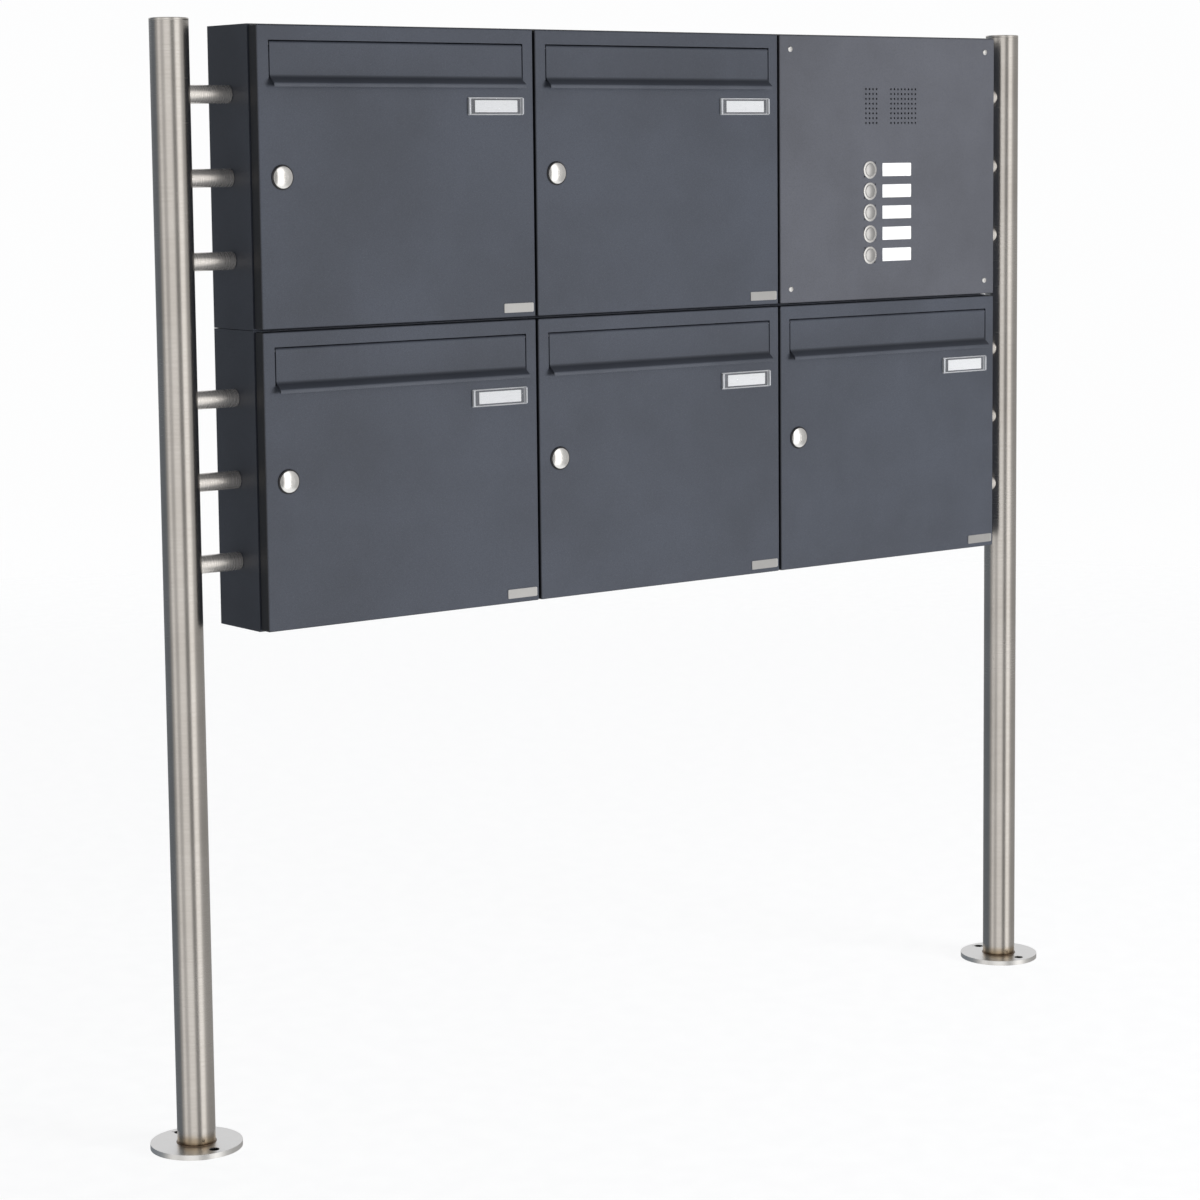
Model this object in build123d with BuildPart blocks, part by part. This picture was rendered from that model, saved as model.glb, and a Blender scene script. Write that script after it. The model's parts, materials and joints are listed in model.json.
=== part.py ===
"""Free-standing block of five letterboxes and a door-bell box, hung between two round posts.

Millimetres. +X runs to the right along the fronts, the fronts face -Y, +Z is up. The origin is on the
ground, in the middle of the unit's outer box.
"""
from build123d import *
from math import sqrt
import os

os.makedirs("parts", exist_ok=True)

# ---------------------------------------------------------------- overall sizes
columns = 3
rows = 2
module_width = 370.0
module_height = 330.0
casing_depth = 83.0
overall_height = 1240.0
post_above_block = 6.0
post_gap = 50.0
post_diameter = 42.4
post_wall = 2.0

# ---------------------------------------------------------------- sheet metal of the modules
sheet = 1.5
casing_seam = 0.6
flange_width = 12.0
front_gap = 3.0
door_depth = 15.0
door_to_casing = 2.0

# ---------------------------------------------------------------- door hinge
hinge_inset = 5.5
hinge_pin_radius = 2.0
hinge_running_clearance = 0.08
pin_hole_clearance = 0.05
pin_head_radius = 3.0
pin_head_height = 1.5
pin_stand_up = 0.2
lug_thickness = 3.0
lug_radius = 3.5
lug_gap = 0.5
lug_neck_left = 9.0
lug_neck_right = 1.5
notch_clearance = 1.5

# ---------------------------------------------------------------- posting flap
flap_inset = 16.0
flap_drop = 17.5
flap_flat_height = 38.0
flap_sheet = 1.2
flap_lip_reach = 9.0
flap_lip_drop = 7.0
flap_hem = 4.0
flap_side_gap = 1.5
flap_top_gap = 1.0
flap_bottom_gap = 3.0
flap_stop_clearance = 0.3
flap_stop_width = 5.0
flap_stop_lap = 1.5
flap_rod_radius = 1.5
flap_running_clearance = 0.08
slot_frame_side = 4.0
slot_frame_foot = 8.0
ear_thickness = 3.0
ear_half_height = 4.0
rod_seat_clearance = 0.05

# ---------------------------------------------------------------- cam lock
lock_inset = 29.0
lock_drop = 163.5
lock_collar_radius = 13.75
lock_collar_height = 1.5
lock_recess_depth = 1.0
lock_dome_radius = 12.0
lock_dome_height = 4.6
lock_dome_clearance = 0.15
lock_dome_rim = 1.6
lock_barrel_radius = 9.4
lock_hole_clearance = 0.15
lock_barrel_length = 19.0
lock_core_radius = 8.0
lock_running_clearance = 0.08
lock_nut_radius = 12.5
lock_nut_thickness = 3.0
keyway_width = 2.2
keyway_height = 9.0
keyway_depth = 14.0
tang_size = 6.0
tang_clearance = 0.1
cam_gap = 1.2
cam_thickness = 2.8
cam_width = 14.0
cam_hub_radius = 9.0
cam_reach = 26.0
cam_screw_head_radius = 4.5
cam_screw_head_height = 2.5
cam_screw_radius = 1.9
cam_screw_hole_clearance = 0.1
cam_screw_length = 10.0
cam_screw_seat = 0.05

# ---------------------------------------------------------------- name plates on the doors
name_plate_width = 77.0
name_plate_height = 20.0
name_plate_thickness = 3.5
name_plate_right = 15.0
name_plate_drop = 77.0
name_card_width = 59.0
name_card_height = 13.5
name_window_recess = 0.8

# ---------------------------------------------------------------- bell box
panel_screw_inset = 17.3
panel_screw_radius = 2.0
panel_screw_head_radius = 3.7
panel_screw_head_height = 1.6
panel_hole_radius = 2.3
pillar_radius = 5.0
pillar_bite = 10.0
pillar_hole_clearance = 0.1
speech_hole_radius = 1.25
speech_pitch = 6.0
speech_rows = 8
speech_drop = 65.0
microphone_columns = 4
microphone_left = 142.6
speaker_columns = 8
speaker_left = 185.2
button_x = 149.0
button_first_drop = 165.3
button_pitch = 26.6
button_count = 5
button_collar_radius = 11.0
button_collar_height = 1.2
button_barrel_radius = 9.5
button_hole_clearance = 0.15
button_base = 2.0
button_cap_radius = 8.0
button_running_clearance = 0.08
button_cap_height = 1.8
button_dome_height = 0.9
button_shoulder = 3.0
button_shoulder_clearance = 0.2
button_flange_radius = 8.6
button_flange_clearance = 0.2
button_flange_thickness = 1.6
button_travel = 1.5
button_spring_room = 11.7
field_left = 170.6
field_width = 50.0
field_height = 16.5
field_fit = 0.2
field_set_back = 0.3
field_lap = 2.0
field_backing = 2.0
unit_margin = 12.0
unit_gap = 1.0
unit_depth = 22.0
cable_hole_radius = 8.0

# ---------------------------------------------------------------- posts, struts and feet
cap_thickness = 3.0
cap_edge_radius = 1.0
cap_spigot_length = 10.0
cap_spigot_clearance = 0.1
strut_radius = 10.0
strut_drops = (75.0, 165.0, 255.0)
strut_weld_gap = 0.02
strut_bore_depth = 22.0
strut_bolt_radius = 3.9
strut_bore_clearance = 0.1
strut_hole_clearance = 0.3
strut_bolt_bite = 16.0
strut_bolt_head_radius = 6.5
strut_bolt_head_height = 4.0
foot_radius = 51.0
foot_thickness = 6.0
foot_edge_chamfer = 0.8
anchor_circle_radius = 38.0
anchor_hole_radius = 5.75
weld_size = 2.5
weld_clearance = 0.05

# ---------------------------------------------------------------- bolts between casings
joining_bolt_radius = 2.4
joining_hole_clearance = 0.2
joining_head_radius = 4.5
joining_head_height = 3.0
joining_offset = 100.0

# ---------------------------------------------------------------- places worked out from the sizes
casing_front = door_depth + door_to_casing
total_depth = casing_front + casing_depth
post_setback = casing_front + casing_depth / 2
post_radius = post_diameter / 2
front_reach = post_setback + flap_lip_reach
back_reach = max(foot_radius, total_depth - post_setback)
post_y = (front_reach - back_reach) / 2
front_y = post_y - post_setback
block_width = columns * module_width
block_top = overall_height - post_above_block
post_x = block_width / 2 + post_gap + post_radius
door_half_gap = front_gap / 2
seam_half = casing_seam / 2
hinge_x = module_width - door_half_gap - hinge_inset
flap_left = door_half_gap + flap_inset
flap_right = module_width - door_half_gap - flap_inset
flap_top = door_half_gap + flap_drop
knuckle_radius = flap_rod_radius + flap_running_clearance + flap_sheet
knuckle_drop = flap_top + knuckle_radius
hole_left = flap_left - flap_side_gap
hole_right = flap_right + flap_side_gap
hole_top = flap_top - flap_top_gap
hole_bottom = flap_top + flap_flat_height + flap_bottom_gap
slot_bottom = flap_top + flap_flat_height - flap_stop_lap
slot_plate_depth = flap_sheet + flap_stop_clearance


class Module:
    """One cell of the block, known by the upper left corner of its front."""

    def __init__(self, name, column, row):
        self.name = name
        self.column = column
        self.row = row
        self.left = column * module_width - block_width / 2
        self.top = block_top - row * module_height

    def face(self, depth=0.0):
        """Plane parallel to the fronts: x to the right, y downwards, normal to the rear."""
        return Plane(origin=(self.left, front_y + depth, self.top), x_dir=(1, 0, 0), z_dir=(0, 1, 0))

    def level(self, drop):
        """Horizontal plane at a distance below the module's top: x to the right, y to the rear."""
        return Plane(origin=(self.left, front_y, self.top - drop), x_dir=(1, 0, 0), z_dir=(0, 0, 1))

    def point(self, x, drop, depth=0.0):
        return Vector(self.left + x, front_y + depth, self.top - drop)

    def side(self, x, drop):
        """Upright plane across the front: x to the rear, y upwards, normal to the right."""
        return Plane(origin=self.point(x, drop), x_dir=(0, 1, 0), z_dir=(1, 0, 0))


def span(left, right, low, high, mode=Mode.ADD):
    """Rectangle from its four sides, in the sketch that is open."""
    with Locations(((left + right) / 2, (low + high) / 2)):
        Rectangle(right - left, high - low, mode=mode)


def slab(plane, left, right, low, high, thickness, mode=Mode.ADD):
    """Flat plate from its outline and thickness, in the part that is open."""
    with BuildSketch(plane) as outline:
        span(left, right, low, high)
    extrude(outline.sketch, amount=thickness, mode=mode)


def bar(plane, radius, length, mode=Mode.ADD):
    """Round bar or hole along the plane's normal, in the part that is open."""
    with BuildSketch(plane) as section:
        Circle(radius)
    extrude(section.sketch, amount=length, mode=mode)


def turned(plane, outline):
    """Solid turned about the plane's x axis from (distance along it, radius) points."""
    with BuildSketch(plane) as profile:
        with BuildLine():
            Polyline(*outline, close=True)
        make_face()
    revolve(profile.sketch, axis=Axis(plane.origin, plane.x_dir))


def crown(rim, radius, apex):
    """Arc of a ball-shaped dome from its rim to its apex on the axis, in the line sketch that is open."""
    rise = rim - apex
    ball_radius = (radius**2 + rise**2) / (2 * rise)
    half_radius = radius / 2
    half_way = apex + ball_radius - sqrt(ball_radius**2 - half_radius**2)
    return ThreePointArc((rim, radius), (half_way, half_radius), (apex, 0))


def save(piece, name):
    piece.part.label = name
    export_step(piece.part, f"parts/{name}.step")


letterboxes = [
    Module("1", 0, 0),
    Module("2", 1, 0),
    Module("3", 0, 1),
    Module("4", 1, 1),
    Module("5", 2, 1),
]
bell_box = Module("bell", 2, 0)
modules = letterboxes + [bell_box]
cells = {(module.column, module.row): module for module in modules}


# ================================================================ casings
def folded_box(module):
    """Open box of the casing with its inward front flange, in the part that is open."""
    right = module_width - seam_half
    bottom = module_height - seam_half
    slab(module.face(casing_front), seam_half, right, seam_half, bottom, casing_depth)
    inner = seam_half + sheet
    inside_depth = casing_depth - 2 * sheet
    slab(
        module.face(casing_front + sheet),
        inner,
        module_width - inner,
        inner,
        module_height - inner,
        inside_depth,
        mode=Mode.SUBTRACT,
    )
    mouth = seam_half + flange_width
    slab(
        module.face(casing_front),
        mouth,
        module_width - mouth,
        mouth,
        module_height - mouth,
        sheet,
        mode=Mode.SUBTRACT,
    )


def side_bore(module, x, drop, radius, length):
    """Round hole along +X from a point on a casing's side wall, at mid depth."""
    bar(Plane(origin=module.point(x, drop, post_setback), z_dir=(1, 0, 0)), radius, length, Mode.SUBTRACT)


def down_bore(module, x, drop, radius, length):
    """Round hole downwards from a level of the casing, at mid depth."""
    bar(Plane(origin=module.point(x, drop, post_setback), z_dir=(0, 0, -1)), radius, length, Mode.SUBTRACT)


def casing_holes(module):
    """Holes for the struts and for the bolts to the neighbouring casings."""
    wall_span = sheet + casing_seam
    strut_hole = strut_bolt_radius + strut_hole_clearance
    joining_hole = joining_bolt_radius + joining_hole_clearance
    middle_x = module_width / 2
    middle_drop = module_height / 2
    at_left = module.column == 0
    at_right = module.column == columns - 1
    for drop in strut_drops:
        if at_left:
            side_bore(module, 0, drop, strut_hole, wall_span)
        if at_right:
            side_bore(module, module_width - wall_span, drop, strut_hole, wall_span)
    for shift in (-joining_offset, joining_offset):
        if not at_left:
            side_bore(module, 0, middle_drop + shift, joining_hole, wall_span)
        if not at_right:
            side_bore(module, module_width - wall_span, middle_drop + shift, joining_hole, wall_span)
        if module.row > 0:
            down_bore(module, middle_x + shift, 0, joining_hole, wall_span)
        if module.row < rows - 1:
            down_bore(module, middle_x + shift, module_height - wall_span, joining_hole, wall_span)


lug_top = door_half_gap + sheet + lug_gap
pin_top = door_half_gap + pin_stand_up


def hinge_lug(module, drop):
    """Ear on the front flange that carries one hinge pin; drop is its lower face."""
    lug_reach = casing_front + sheet - hinge_inset
    with BuildSketch(module.level(drop)) as outline:
        with Locations((hinge_x, hinge_inset)):
            Circle(lug_radius)
        span(hinge_x - lug_neck_left, hinge_x + lug_neck_right, hinge_inset, hinge_inset + lug_reach)
        with Locations((hinge_x, hinge_inset)):
            Circle(hinge_pin_radius + pin_hole_clearance, mode=Mode.SUBTRACT)
    extrude(outline.sketch, amount=lug_thickness)


for module in letterboxes:
    with BuildPart() as casing:
        folded_box(module)
        hinge_lug(module, lug_top + lug_thickness)
        hinge_lug(module, module_height - lug_top)
        casing_holes(module)
    save(casing, f"casing_{module.name}")

# ================================================================ door hinge pins
pin_length = lug_top + lug_thickness - pin_top

with BuildPart() as door_hinge_pins:
    for module in letterboxes:
        upper = module.level(lug_top + lug_thickness)
        lower = module.level(module_height - lug_top - lug_thickness)
        for plane, direction in ((upper, 1), (lower, -1)):
            with BuildSketch(plane):
                with Locations((hinge_x, hinge_inset)):
                    Circle(hinge_pin_radius)
            extrude(amount=direction * pin_length)
            with BuildSketch(plane):
                with Locations((hinge_x, hinge_inset)):
                    Circle(pin_head_radius)
            extrude(amount=-direction * pin_head_height)
save(door_hinge_pins, "door_hinge_pins")

# ================================================================ doors
door_right = module_width - door_half_gap
door_bottom = module_height - door_half_gap
notch_height = lug_gap + lug_thickness + notch_clearance


def tray(module):
    """Shallow folded tray that covers a module's front, in the part that is open."""
    slab(module.face(), door_half_gap, door_right, door_half_gap, door_bottom, door_depth)
    slab(
        module.face(sheet),
        door_half_gap + sheet,
        door_right - sheet,
        door_half_gap + sheet,
        door_bottom - sheet,
        door_depth - sheet,
        mode=Mode.SUBTRACT,
    )


def slot_frame(module):
    """Plate behind the posting flap: the mail slot, the flap's stops and the rod's ears."""
    border_left = hole_left - slot_frame_side
    border_right = hole_right + slot_frame_side
    border_bottom = hole_bottom + slot_frame_foot
    slab(module.face(sheet), border_left, border_right, door_half_gap, border_bottom, slot_plate_depth)
    for low, high in ((hole_left - ear_thickness, hole_left), (hole_right, hole_right + ear_thickness)):
        slab(
            module.face(sheet),
            low,
            high,
            knuckle_drop - ear_half_height,
            knuckle_drop + ear_half_height,
            knuckle_radius + ear_half_height - sheet,
        )


def slot_cuts(module):
    """Opening for the flap in the front, and the mail slot behind it."""
    knuckle_clear = knuckle_drop + ear_half_height
    slab(module.face(), hole_left, hole_right, hole_top, hole_bottom, sheet, mode=Mode.SUBTRACT)
    slab(module.face(), hole_left, hole_right, hole_top, knuckle_clear, door_depth, mode=Mode.SUBTRACT)
    slab(
        module.face(),
        flap_left + flap_stop_width,
        flap_right - flap_stop_width,
        hole_top,
        slot_bottom,
        door_depth,
        mode=Mode.SUBTRACT,
    )
    rod_seat = flap_rod_radius + rod_seat_clearance
    seat_left = hole_left - ear_thickness
    seat_plane = Plane(
        origin=module.point(seat_left, knuckle_drop, knuckle_radius), x_dir=(0, 1, 0), z_dir=(1, 0, 0)
    )
    bar(seat_plane, rod_seat, hole_right + ear_thickness - seat_left, Mode.SUBTRACT)


for module in letterboxes:
    with BuildPart() as door:
        tray(module)
        slot_frame(module)
        slot_cuts(module)
        for drop in (door_half_gap, module_height - door_half_gap - sheet):
            with BuildSketch(module.level(drop + sheet)):
                with Locations((hinge_x, hinge_inset)):
                    Circle(hinge_pin_radius + hinge_running_clearance)
            extrude(amount=sheet, mode=Mode.SUBTRACT)
        for low in (door_half_gap + sheet, module_height - door_half_gap - sheet - notch_height):
            slab(
                module.face(sheet),
                door_right - sheet,
                door_right,
                low,
                low + notch_height,
                door_depth - sheet,
                mode=Mode.SUBTRACT,
            )
        with BuildSketch(module.face()):
            with Locations((door_half_gap + lock_inset, door_half_gap + lock_drop)):
                Circle(lock_barrel_radius + lock_hole_clearance)
        extrude(amount=sheet, mode=Mode.SUBTRACT)
    save(door, f"door_{module.name}")

# ================================================================ posting flaps and their rods
lip_bend = flap_flat_height + flap_lip_drop

for module in letterboxes:
    with BuildPart() as flap:
        with BuildSketch(module.side(flap_left, flap_top)):
            with BuildLine():
                Polyline(
                    (0, -knuckle_radius),
                    (0, -flap_flat_height),
                    (-flap_lip_reach, -lip_bend),
                    (-flap_lip_reach, -lip_bend - flap_hem),
                    (flap_sheet - flap_lip_reach, -lip_bend - flap_hem),
                    (flap_sheet - flap_lip_reach, -lip_bend - flap_sheet / 2),
                    (flap_sheet, -flap_flat_height - flap_sheet / 2),
                    (flap_sheet, -knuckle_radius),
                    close=True,
                )
            make_face()
            with Locations((knuckle_radius, -knuckle_radius)):
                Circle(knuckle_radius)
                Circle(flap_rod_radius + flap_running_clearance, mode=Mode.SUBTRACT)
        extrude(amount=flap_right - flap_left)
    save(flap, f"flap_{module.name}")

    rod_left = hole_left - ear_thickness
    rod_right = hole_right + ear_thickness
    with BuildPart() as flap_rod:
        rod_origin = module.point(rod_left, knuckle_drop, knuckle_radius)
        with BuildSketch(Plane(origin=rod_origin, x_dir=(0, 1, 0), z_dir=(1, 0, 0))):
            Circle(flap_rod_radius)
        extrude(amount=rod_right - rod_left)
    save(flap_rod, f"flap_rod_{module.name}")

# ================================================================ cam locks
lock_x = door_half_gap + lock_inset
lock_z = door_half_gap + lock_drop
core_end = lock_barrel_length + cam_gap
tang_end = core_end + cam_thickness
dome_seat = lock_recess_depth - lock_collar_height

for module in letterboxes:
    lock_plane = module.side(lock_x, lock_z)
    with BuildPart() as lock_housing:
        turned(
            lock_plane,
            [
                (-lock_collar_height, lock_dome_radius + lock_dome_clearance),
                (-lock_collar_height, lock_collar_radius),
                (0, lock_collar_radius),
                (0, lock_barrel_radius),
                (lock_barrel_length, lock_barrel_radius),
                (lock_barrel_length, lock_core_radius + lock_running_clearance),
                (dome_seat, lock_core_radius + lock_running_clearance),
                (dome_seat, lock_dome_radius + lock_dome_clearance),
            ],
        )
        with BuildSketch(module.face(sheet)):
            with Locations((lock_x, lock_z)):
                RegularPolygon(lock_nut_radius, 6)
                Circle(lock_barrel_radius + lock_running_clearance, mode=Mode.SUBTRACT)
        extrude(amount=lock_nut_thickness)
    save(lock_housing, f"lock_housing_{module.name}")

    with BuildPart() as lock_cylinder:
        rim = dome_seat - lock_running_clearance
        with BuildSketch(lock_plane):
            with BuildLine():
                dome = crown(rim - lock_dome_rim, lock_dome_radius, -lock_dome_height)
                Polyline(
                    dome @ 0,
                    (rim, lock_dome_radius),
                    (rim, lock_core_radius),
                    (core_end, lock_core_radius),
                    (core_end, 0),
                    dome @ 1,
                )
            make_face()
        revolve(axis=Axis(lock_plane.origin, lock_plane.x_dir))
        with BuildSketch(module.face(core_end)):
            with Locations((lock_x, lock_z)):
                Rectangle(tang_size, tang_size)
        extrude(amount=cam_thickness)
        with BuildSketch(module.face(-lock_dome_height)):
            with Locations((lock_x, lock_z)):
                Rectangle(keyway_width, keyway_height)
        extrude(amount=keyway_depth, mode=Mode.SUBTRACT)
        with BuildSketch(module.face(tang_end)):
            with Locations((lock_x, lock_z)):
                Circle(cam_screw_radius + cam_screw_hole_clearance)
        extrude(amount=-cam_screw_length, mode=Mode.SUBTRACT)
    save(lock_cylinder, f"lock_cylinder_{module.name}")

    with BuildPart() as lock_cam:
        with BuildSketch(module.face(core_end)):
            with Locations((lock_x, lock_z)):
                Circle(cam_hub_radius)
            span(lock_x - cam_width / 2, lock_x + cam_width / 2, lock_z, lock_z + cam_reach)
            with Locations((lock_x, lock_z)):
                Rectangle(tang_size + 2 * tang_clearance, tang_size + 2 * tang_clearance, mode=Mode.SUBTRACT)
        extrude(amount=cam_thickness)
        turned(
            lock_plane,
            [
                (tang_end + cam_screw_seat - cam_screw_length, 0),
                (tang_end + cam_screw_seat - cam_screw_length, cam_screw_radius),
                (tang_end + cam_screw_seat, cam_screw_radius),
                (tang_end + cam_screw_seat, cam_screw_head_radius),
                (tang_end + cam_screw_head_height, cam_screw_head_radius),
                (tang_end + cam_screw_head_height, 0),
            ],
        )
    save(lock_cam, f"lock_cam_{module.name}")

# ================================================================ name plates on the doors
plate_right = door_right - name_plate_right
plate_left = plate_right - name_plate_width
plate_top = door_half_gap + name_plate_drop
plate_bottom = plate_top + name_plate_height

for module in letterboxes:
    with BuildPart() as name_plate:
        slab(
            module.face(-name_plate_thickness),
            plate_left,
            plate_right,
            plate_top,
            plate_bottom,
            name_plate_thickness,
        )
        with BuildSketch(module.face(-name_plate_thickness)):
            with Locations(((plate_left + plate_right) / 2, (plate_top + plate_bottom) / 2)):
                Rectangle(name_card_width, name_card_height)
        extrude(amount=name_window_recess, mode=Mode.SUBTRACT)
    save(name_plate, f"name_plate_{module.name}")

# ================================================================ bell box: casing
screw_near = door_half_gap + panel_screw_inset
screw_spots = [
    (x, drop)
    for x in (screw_near, module_width - screw_near)
    for drop in (screw_near, module_height - screw_near)
]
pillar_end = sheet + pillar_bite

with BuildPart() as bell_casing:
    folded_box(bell_box)
    gusset = screw_near + pillar_radius
    for left in (seam_half, module_width - gusset):
        for low in (seam_half, module_height - gusset):
            right = left + gusset - seam_half
            slab(bell_box.face(casing_front), left, right, low, low + gusset - seam_half, sheet)
    for x, drop in screw_spots:
        with BuildSketch(bell_box.face(sheet)):
            with Locations((x, drop)):
                Circle(pillar_radius)
        extrude(amount=casing_front)
        with BuildSketch(bell_box.face(sheet)):
            with Locations((x, drop)):
                Circle(panel_screw_radius + pillar_hole_clearance)
        extrude(amount=pillar_bite + 1, mode=Mode.SUBTRACT)
    casing_holes(bell_box)
    with BuildSketch(bell_box.face(total_depth - sheet)):
        with Locations((module_width / 2, module_height / 2)):
            Circle(cable_hole_radius)
    extrude(amount=sheet, mode=Mode.SUBTRACT)
save(bell_casing, "bell_casing")

# ================================================================ bell box: front panel
button_drops = [door_half_gap + button_first_drop + button_pitch * i for i in range(button_count)]
button_centre = door_half_gap + button_x
window_left = door_half_gap + field_left
window_right = window_left + field_width


def hole_group(left, hole_columns):
    """Centres of one group of speech holes."""
    return [
        (door_half_gap + left + speech_pitch * i, door_half_gap + speech_drop + speech_pitch * j)
        for i in range(hole_columns)
        for j in range(speech_rows)
    ]


speech_spots = hole_group(microphone_left, microphone_columns) + hole_group(speaker_left, speaker_columns)

with BuildPart() as bell_panel:
    tray(bell_box)
    with BuildSketch(bell_box.face()):
        with Locations(*screw_spots):
            Circle(panel_hole_radius)
        with Locations(*speech_spots):
            Circle(speech_hole_radius)
        with Locations(*[(button_centre, drop) for drop in button_drops]):
            Circle(button_barrel_radius + button_hole_clearance)
        for drop in button_drops:
            span(window_left, window_right, drop - field_height / 2, drop + field_height / 2)
    extrude(amount=sheet, mode=Mode.SUBTRACT)
save(bell_panel, "bell_panel")

with BuildPart() as panel_screws:
    for x, drop in screw_spots:
        turned(
            bell_box.side(x, drop),
            [
                (-panel_screw_head_height, 0),
                (-panel_screw_head_height, panel_screw_head_radius * 0.6),
                (-panel_screw_head_height * 0.6, panel_screw_head_radius * 0.9),
                (0, panel_screw_head_radius),
                (0, panel_screw_radius),
                (pillar_end, panel_screw_radius),
                (pillar_end, 0),
            ],
        )
save(panel_screws, "panel_screws")

# ================================================================ bell box: speaker and name windows
unit_left = door_half_gap + microphone_left - unit_margin
unit_right = door_half_gap + speaker_left + speech_pitch * (speaker_columns - 1) + unit_margin
unit_top = door_half_gap + speech_drop - unit_margin
unit_bottom = door_half_gap + speech_drop + speech_pitch * (speech_rows - 1) + unit_margin

with BuildPart() as speaker_module:
    slab(bell_box.face(sheet + unit_gap), unit_left, unit_right, unit_top, unit_bottom, unit_depth)
    fillet(speaker_module.edges().filter_by(Axis.Y), radius=3)
save(speaker_module, "speaker_module")

with BuildPart() as bell_name_windows:
    for drop in button_drops:
        half = field_height / 2
        slab(
            bell_box.face(field_set_back),
            window_left + field_fit,
            window_right - field_fit,
            drop - half + field_fit,
            drop + half - field_fit,
            sheet - field_set_back,
        )
        slab(
            bell_box.face(sheet),
            window_left - field_lap,
            window_right + field_lap,
            drop - half - field_lap,
            drop + half + field_lap,
            field_backing,
        )
save(bell_name_windows, "bell_name_windows")

# ================================================================ bell box: push buttons
cap_bore = button_cap_radius + button_running_clearance
flange_bore = button_flange_radius + button_flange_clearance
flange_start = button_shoulder + button_shoulder_clearance
flange_end = flange_start + button_flange_thickness
chamber_end = flange_end + button_travel + button_spring_room
barrel_end = chamber_end + button_base

with BuildPart() as button_housings:
    for drop in button_drops:
        turned(
            bell_box.side(button_centre, drop),
            [
                (-button_collar_height, cap_bore),
                (-button_collar_height, button_collar_radius),
                (0, button_collar_radius),
                (0, button_barrel_radius),
                (barrel_end, button_barrel_radius),
                (barrel_end, 0),
                (chamber_end, 0),
                (chamber_end, flange_bore),
                (button_shoulder, flange_bore),
                (button_shoulder, cap_bore),
            ],
        )
save(button_housings, "button_housings")

for number, drop in enumerate(button_drops, start=1):
    button_plane = bell_box.side(button_centre, drop)
    with BuildPart() as button:
        with BuildSketch(button_plane):
            with BuildLine():
                dome = crown(-button_cap_height, button_cap_radius, -button_cap_height - button_dome_height)
                Polyline(
                    dome @ 0,
                    (flange_start, button_cap_radius),
                    (flange_start, button_flange_radius),
                    (flange_end, button_flange_radius),
                    (flange_end, 0),
                    dome @ 1,
                )
            make_face()
        revolve(axis=Axis(button_plane.origin, button_plane.x_dir))
    save(button, f"button_{number}")

# ================================================================ posts, caps and feet
tube_top = overall_height - cap_thickness
sides = (("left", -1), ("right", 1))

for side_name, side in sides:
    foot_centre = (side * post_x, post_y)
    with BuildPart() as post:
        with BuildSketch(Plane.XY.offset(foot_thickness)):
            with Locations(foot_centre):
                Circle(post_radius)
                Circle(post_radius - post_wall, mode=Mode.SUBTRACT)
        extrude(amount=tube_top - foot_thickness)
    save(post, f"{side_name}_post")

    with BuildPart() as foot_plate:
        with BuildSketch(Plane.XY):
            with Locations(foot_centre):
                Circle(foot_radius)
        extrude(amount=foot_thickness)
        chamfer(foot_plate.edges().group_by(Axis.Z)[-1], length=foot_edge_chamfer)
        with BuildSketch(Plane.XY):
            with Locations(*[(side * post_x, post_y + way * anchor_circle_radius) for way in (-1, 1)]):
                Circle(anchor_hole_radius)
        extrude(amount=foot_thickness, mode=Mode.SUBTRACT)
        bead_plane = Plane(origin=(side * post_x, post_y, foot_thickness), x_dir=(0, 0, 1), z_dir=(0, 1, 0))
        bead_bore = post_radius + weld_clearance
        turned(bead_plane, [(0, bead_bore), (0, bead_bore + weld_size), (weld_size, bead_bore)])
    save(foot_plate, f"{side_name}_foot_plate")

with BuildPart() as post_caps:
    for side_name, side in sides:
        spigot_radius = post_radius - post_wall - cap_spigot_clearance
        cap_plane = Plane(origin=(side * post_x, post_y, tube_top), x_dir=(0, 0, 1), z_dir=(0, 1, 0))
        turned(
            cap_plane,
            [
                (-cap_spigot_length, 0),
                (-cap_spigot_length, spigot_radius),
                (0, spigot_radius),
                (0, post_radius),
                (cap_thickness - cap_edge_radius, post_radius),
                (cap_thickness, post_radius - cap_edge_radius),
                (cap_thickness, 0),
            ],
        )
save(post_caps, "post_caps")

# ================================================================ struts and the bolts that hold them
block_side = block_width / 2
strut_spots = [
    (side, block_top - row * module_height - drop)
    for side_name, side in sides
    for row in range(rows)
    for drop in strut_drops
]

with BuildPart() as struts:
    for side, height in strut_spots:
        strut_plane = Plane(
            origin=(side * (block_side - seam_half), post_y, height), x_dir=(0, 1, 0), z_dir=(side, 0, 0)
        )
        with BuildSketch(strut_plane):
            Circle(strut_radius)
        extrude(amount=seam_half + post_gap + post_radius)
        with BuildSketch(strut_plane):
            Circle(strut_bolt_radius + strut_bore_clearance)
        extrude(amount=strut_bore_depth, mode=Mode.SUBTRACT)
    with BuildSketch(Plane.XY.offset(foot_thickness)):
        with Locations(*[(side * post_x, post_y) for side_name, side in sides]):
            Circle(post_radius + strut_weld_gap)
    extrude(amount=overall_height, mode=Mode.SUBTRACT)
save(struts, "struts")

with BuildPart() as strut_bolts:
    for side, height in strut_spots:
        wall_face = side * (block_side - seam_half - sheet)
        bolt_plane = Plane(origin=(wall_face, post_y, height), x_dir=(side, 0, 0), z_dir=(0, 0, 1))
        turned(
            bolt_plane,
            [
                (-strut_bolt_head_height, 0),
                (-strut_bolt_head_height, strut_bolt_head_radius),
                (0, strut_bolt_head_radius),
                (0, strut_bolt_radius),
                (sheet + strut_bolt_bite, strut_bolt_radius),
                (sheet + strut_bolt_bite, 0),
            ],
        )
save(strut_bolts, "strut_bolts")

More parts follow.
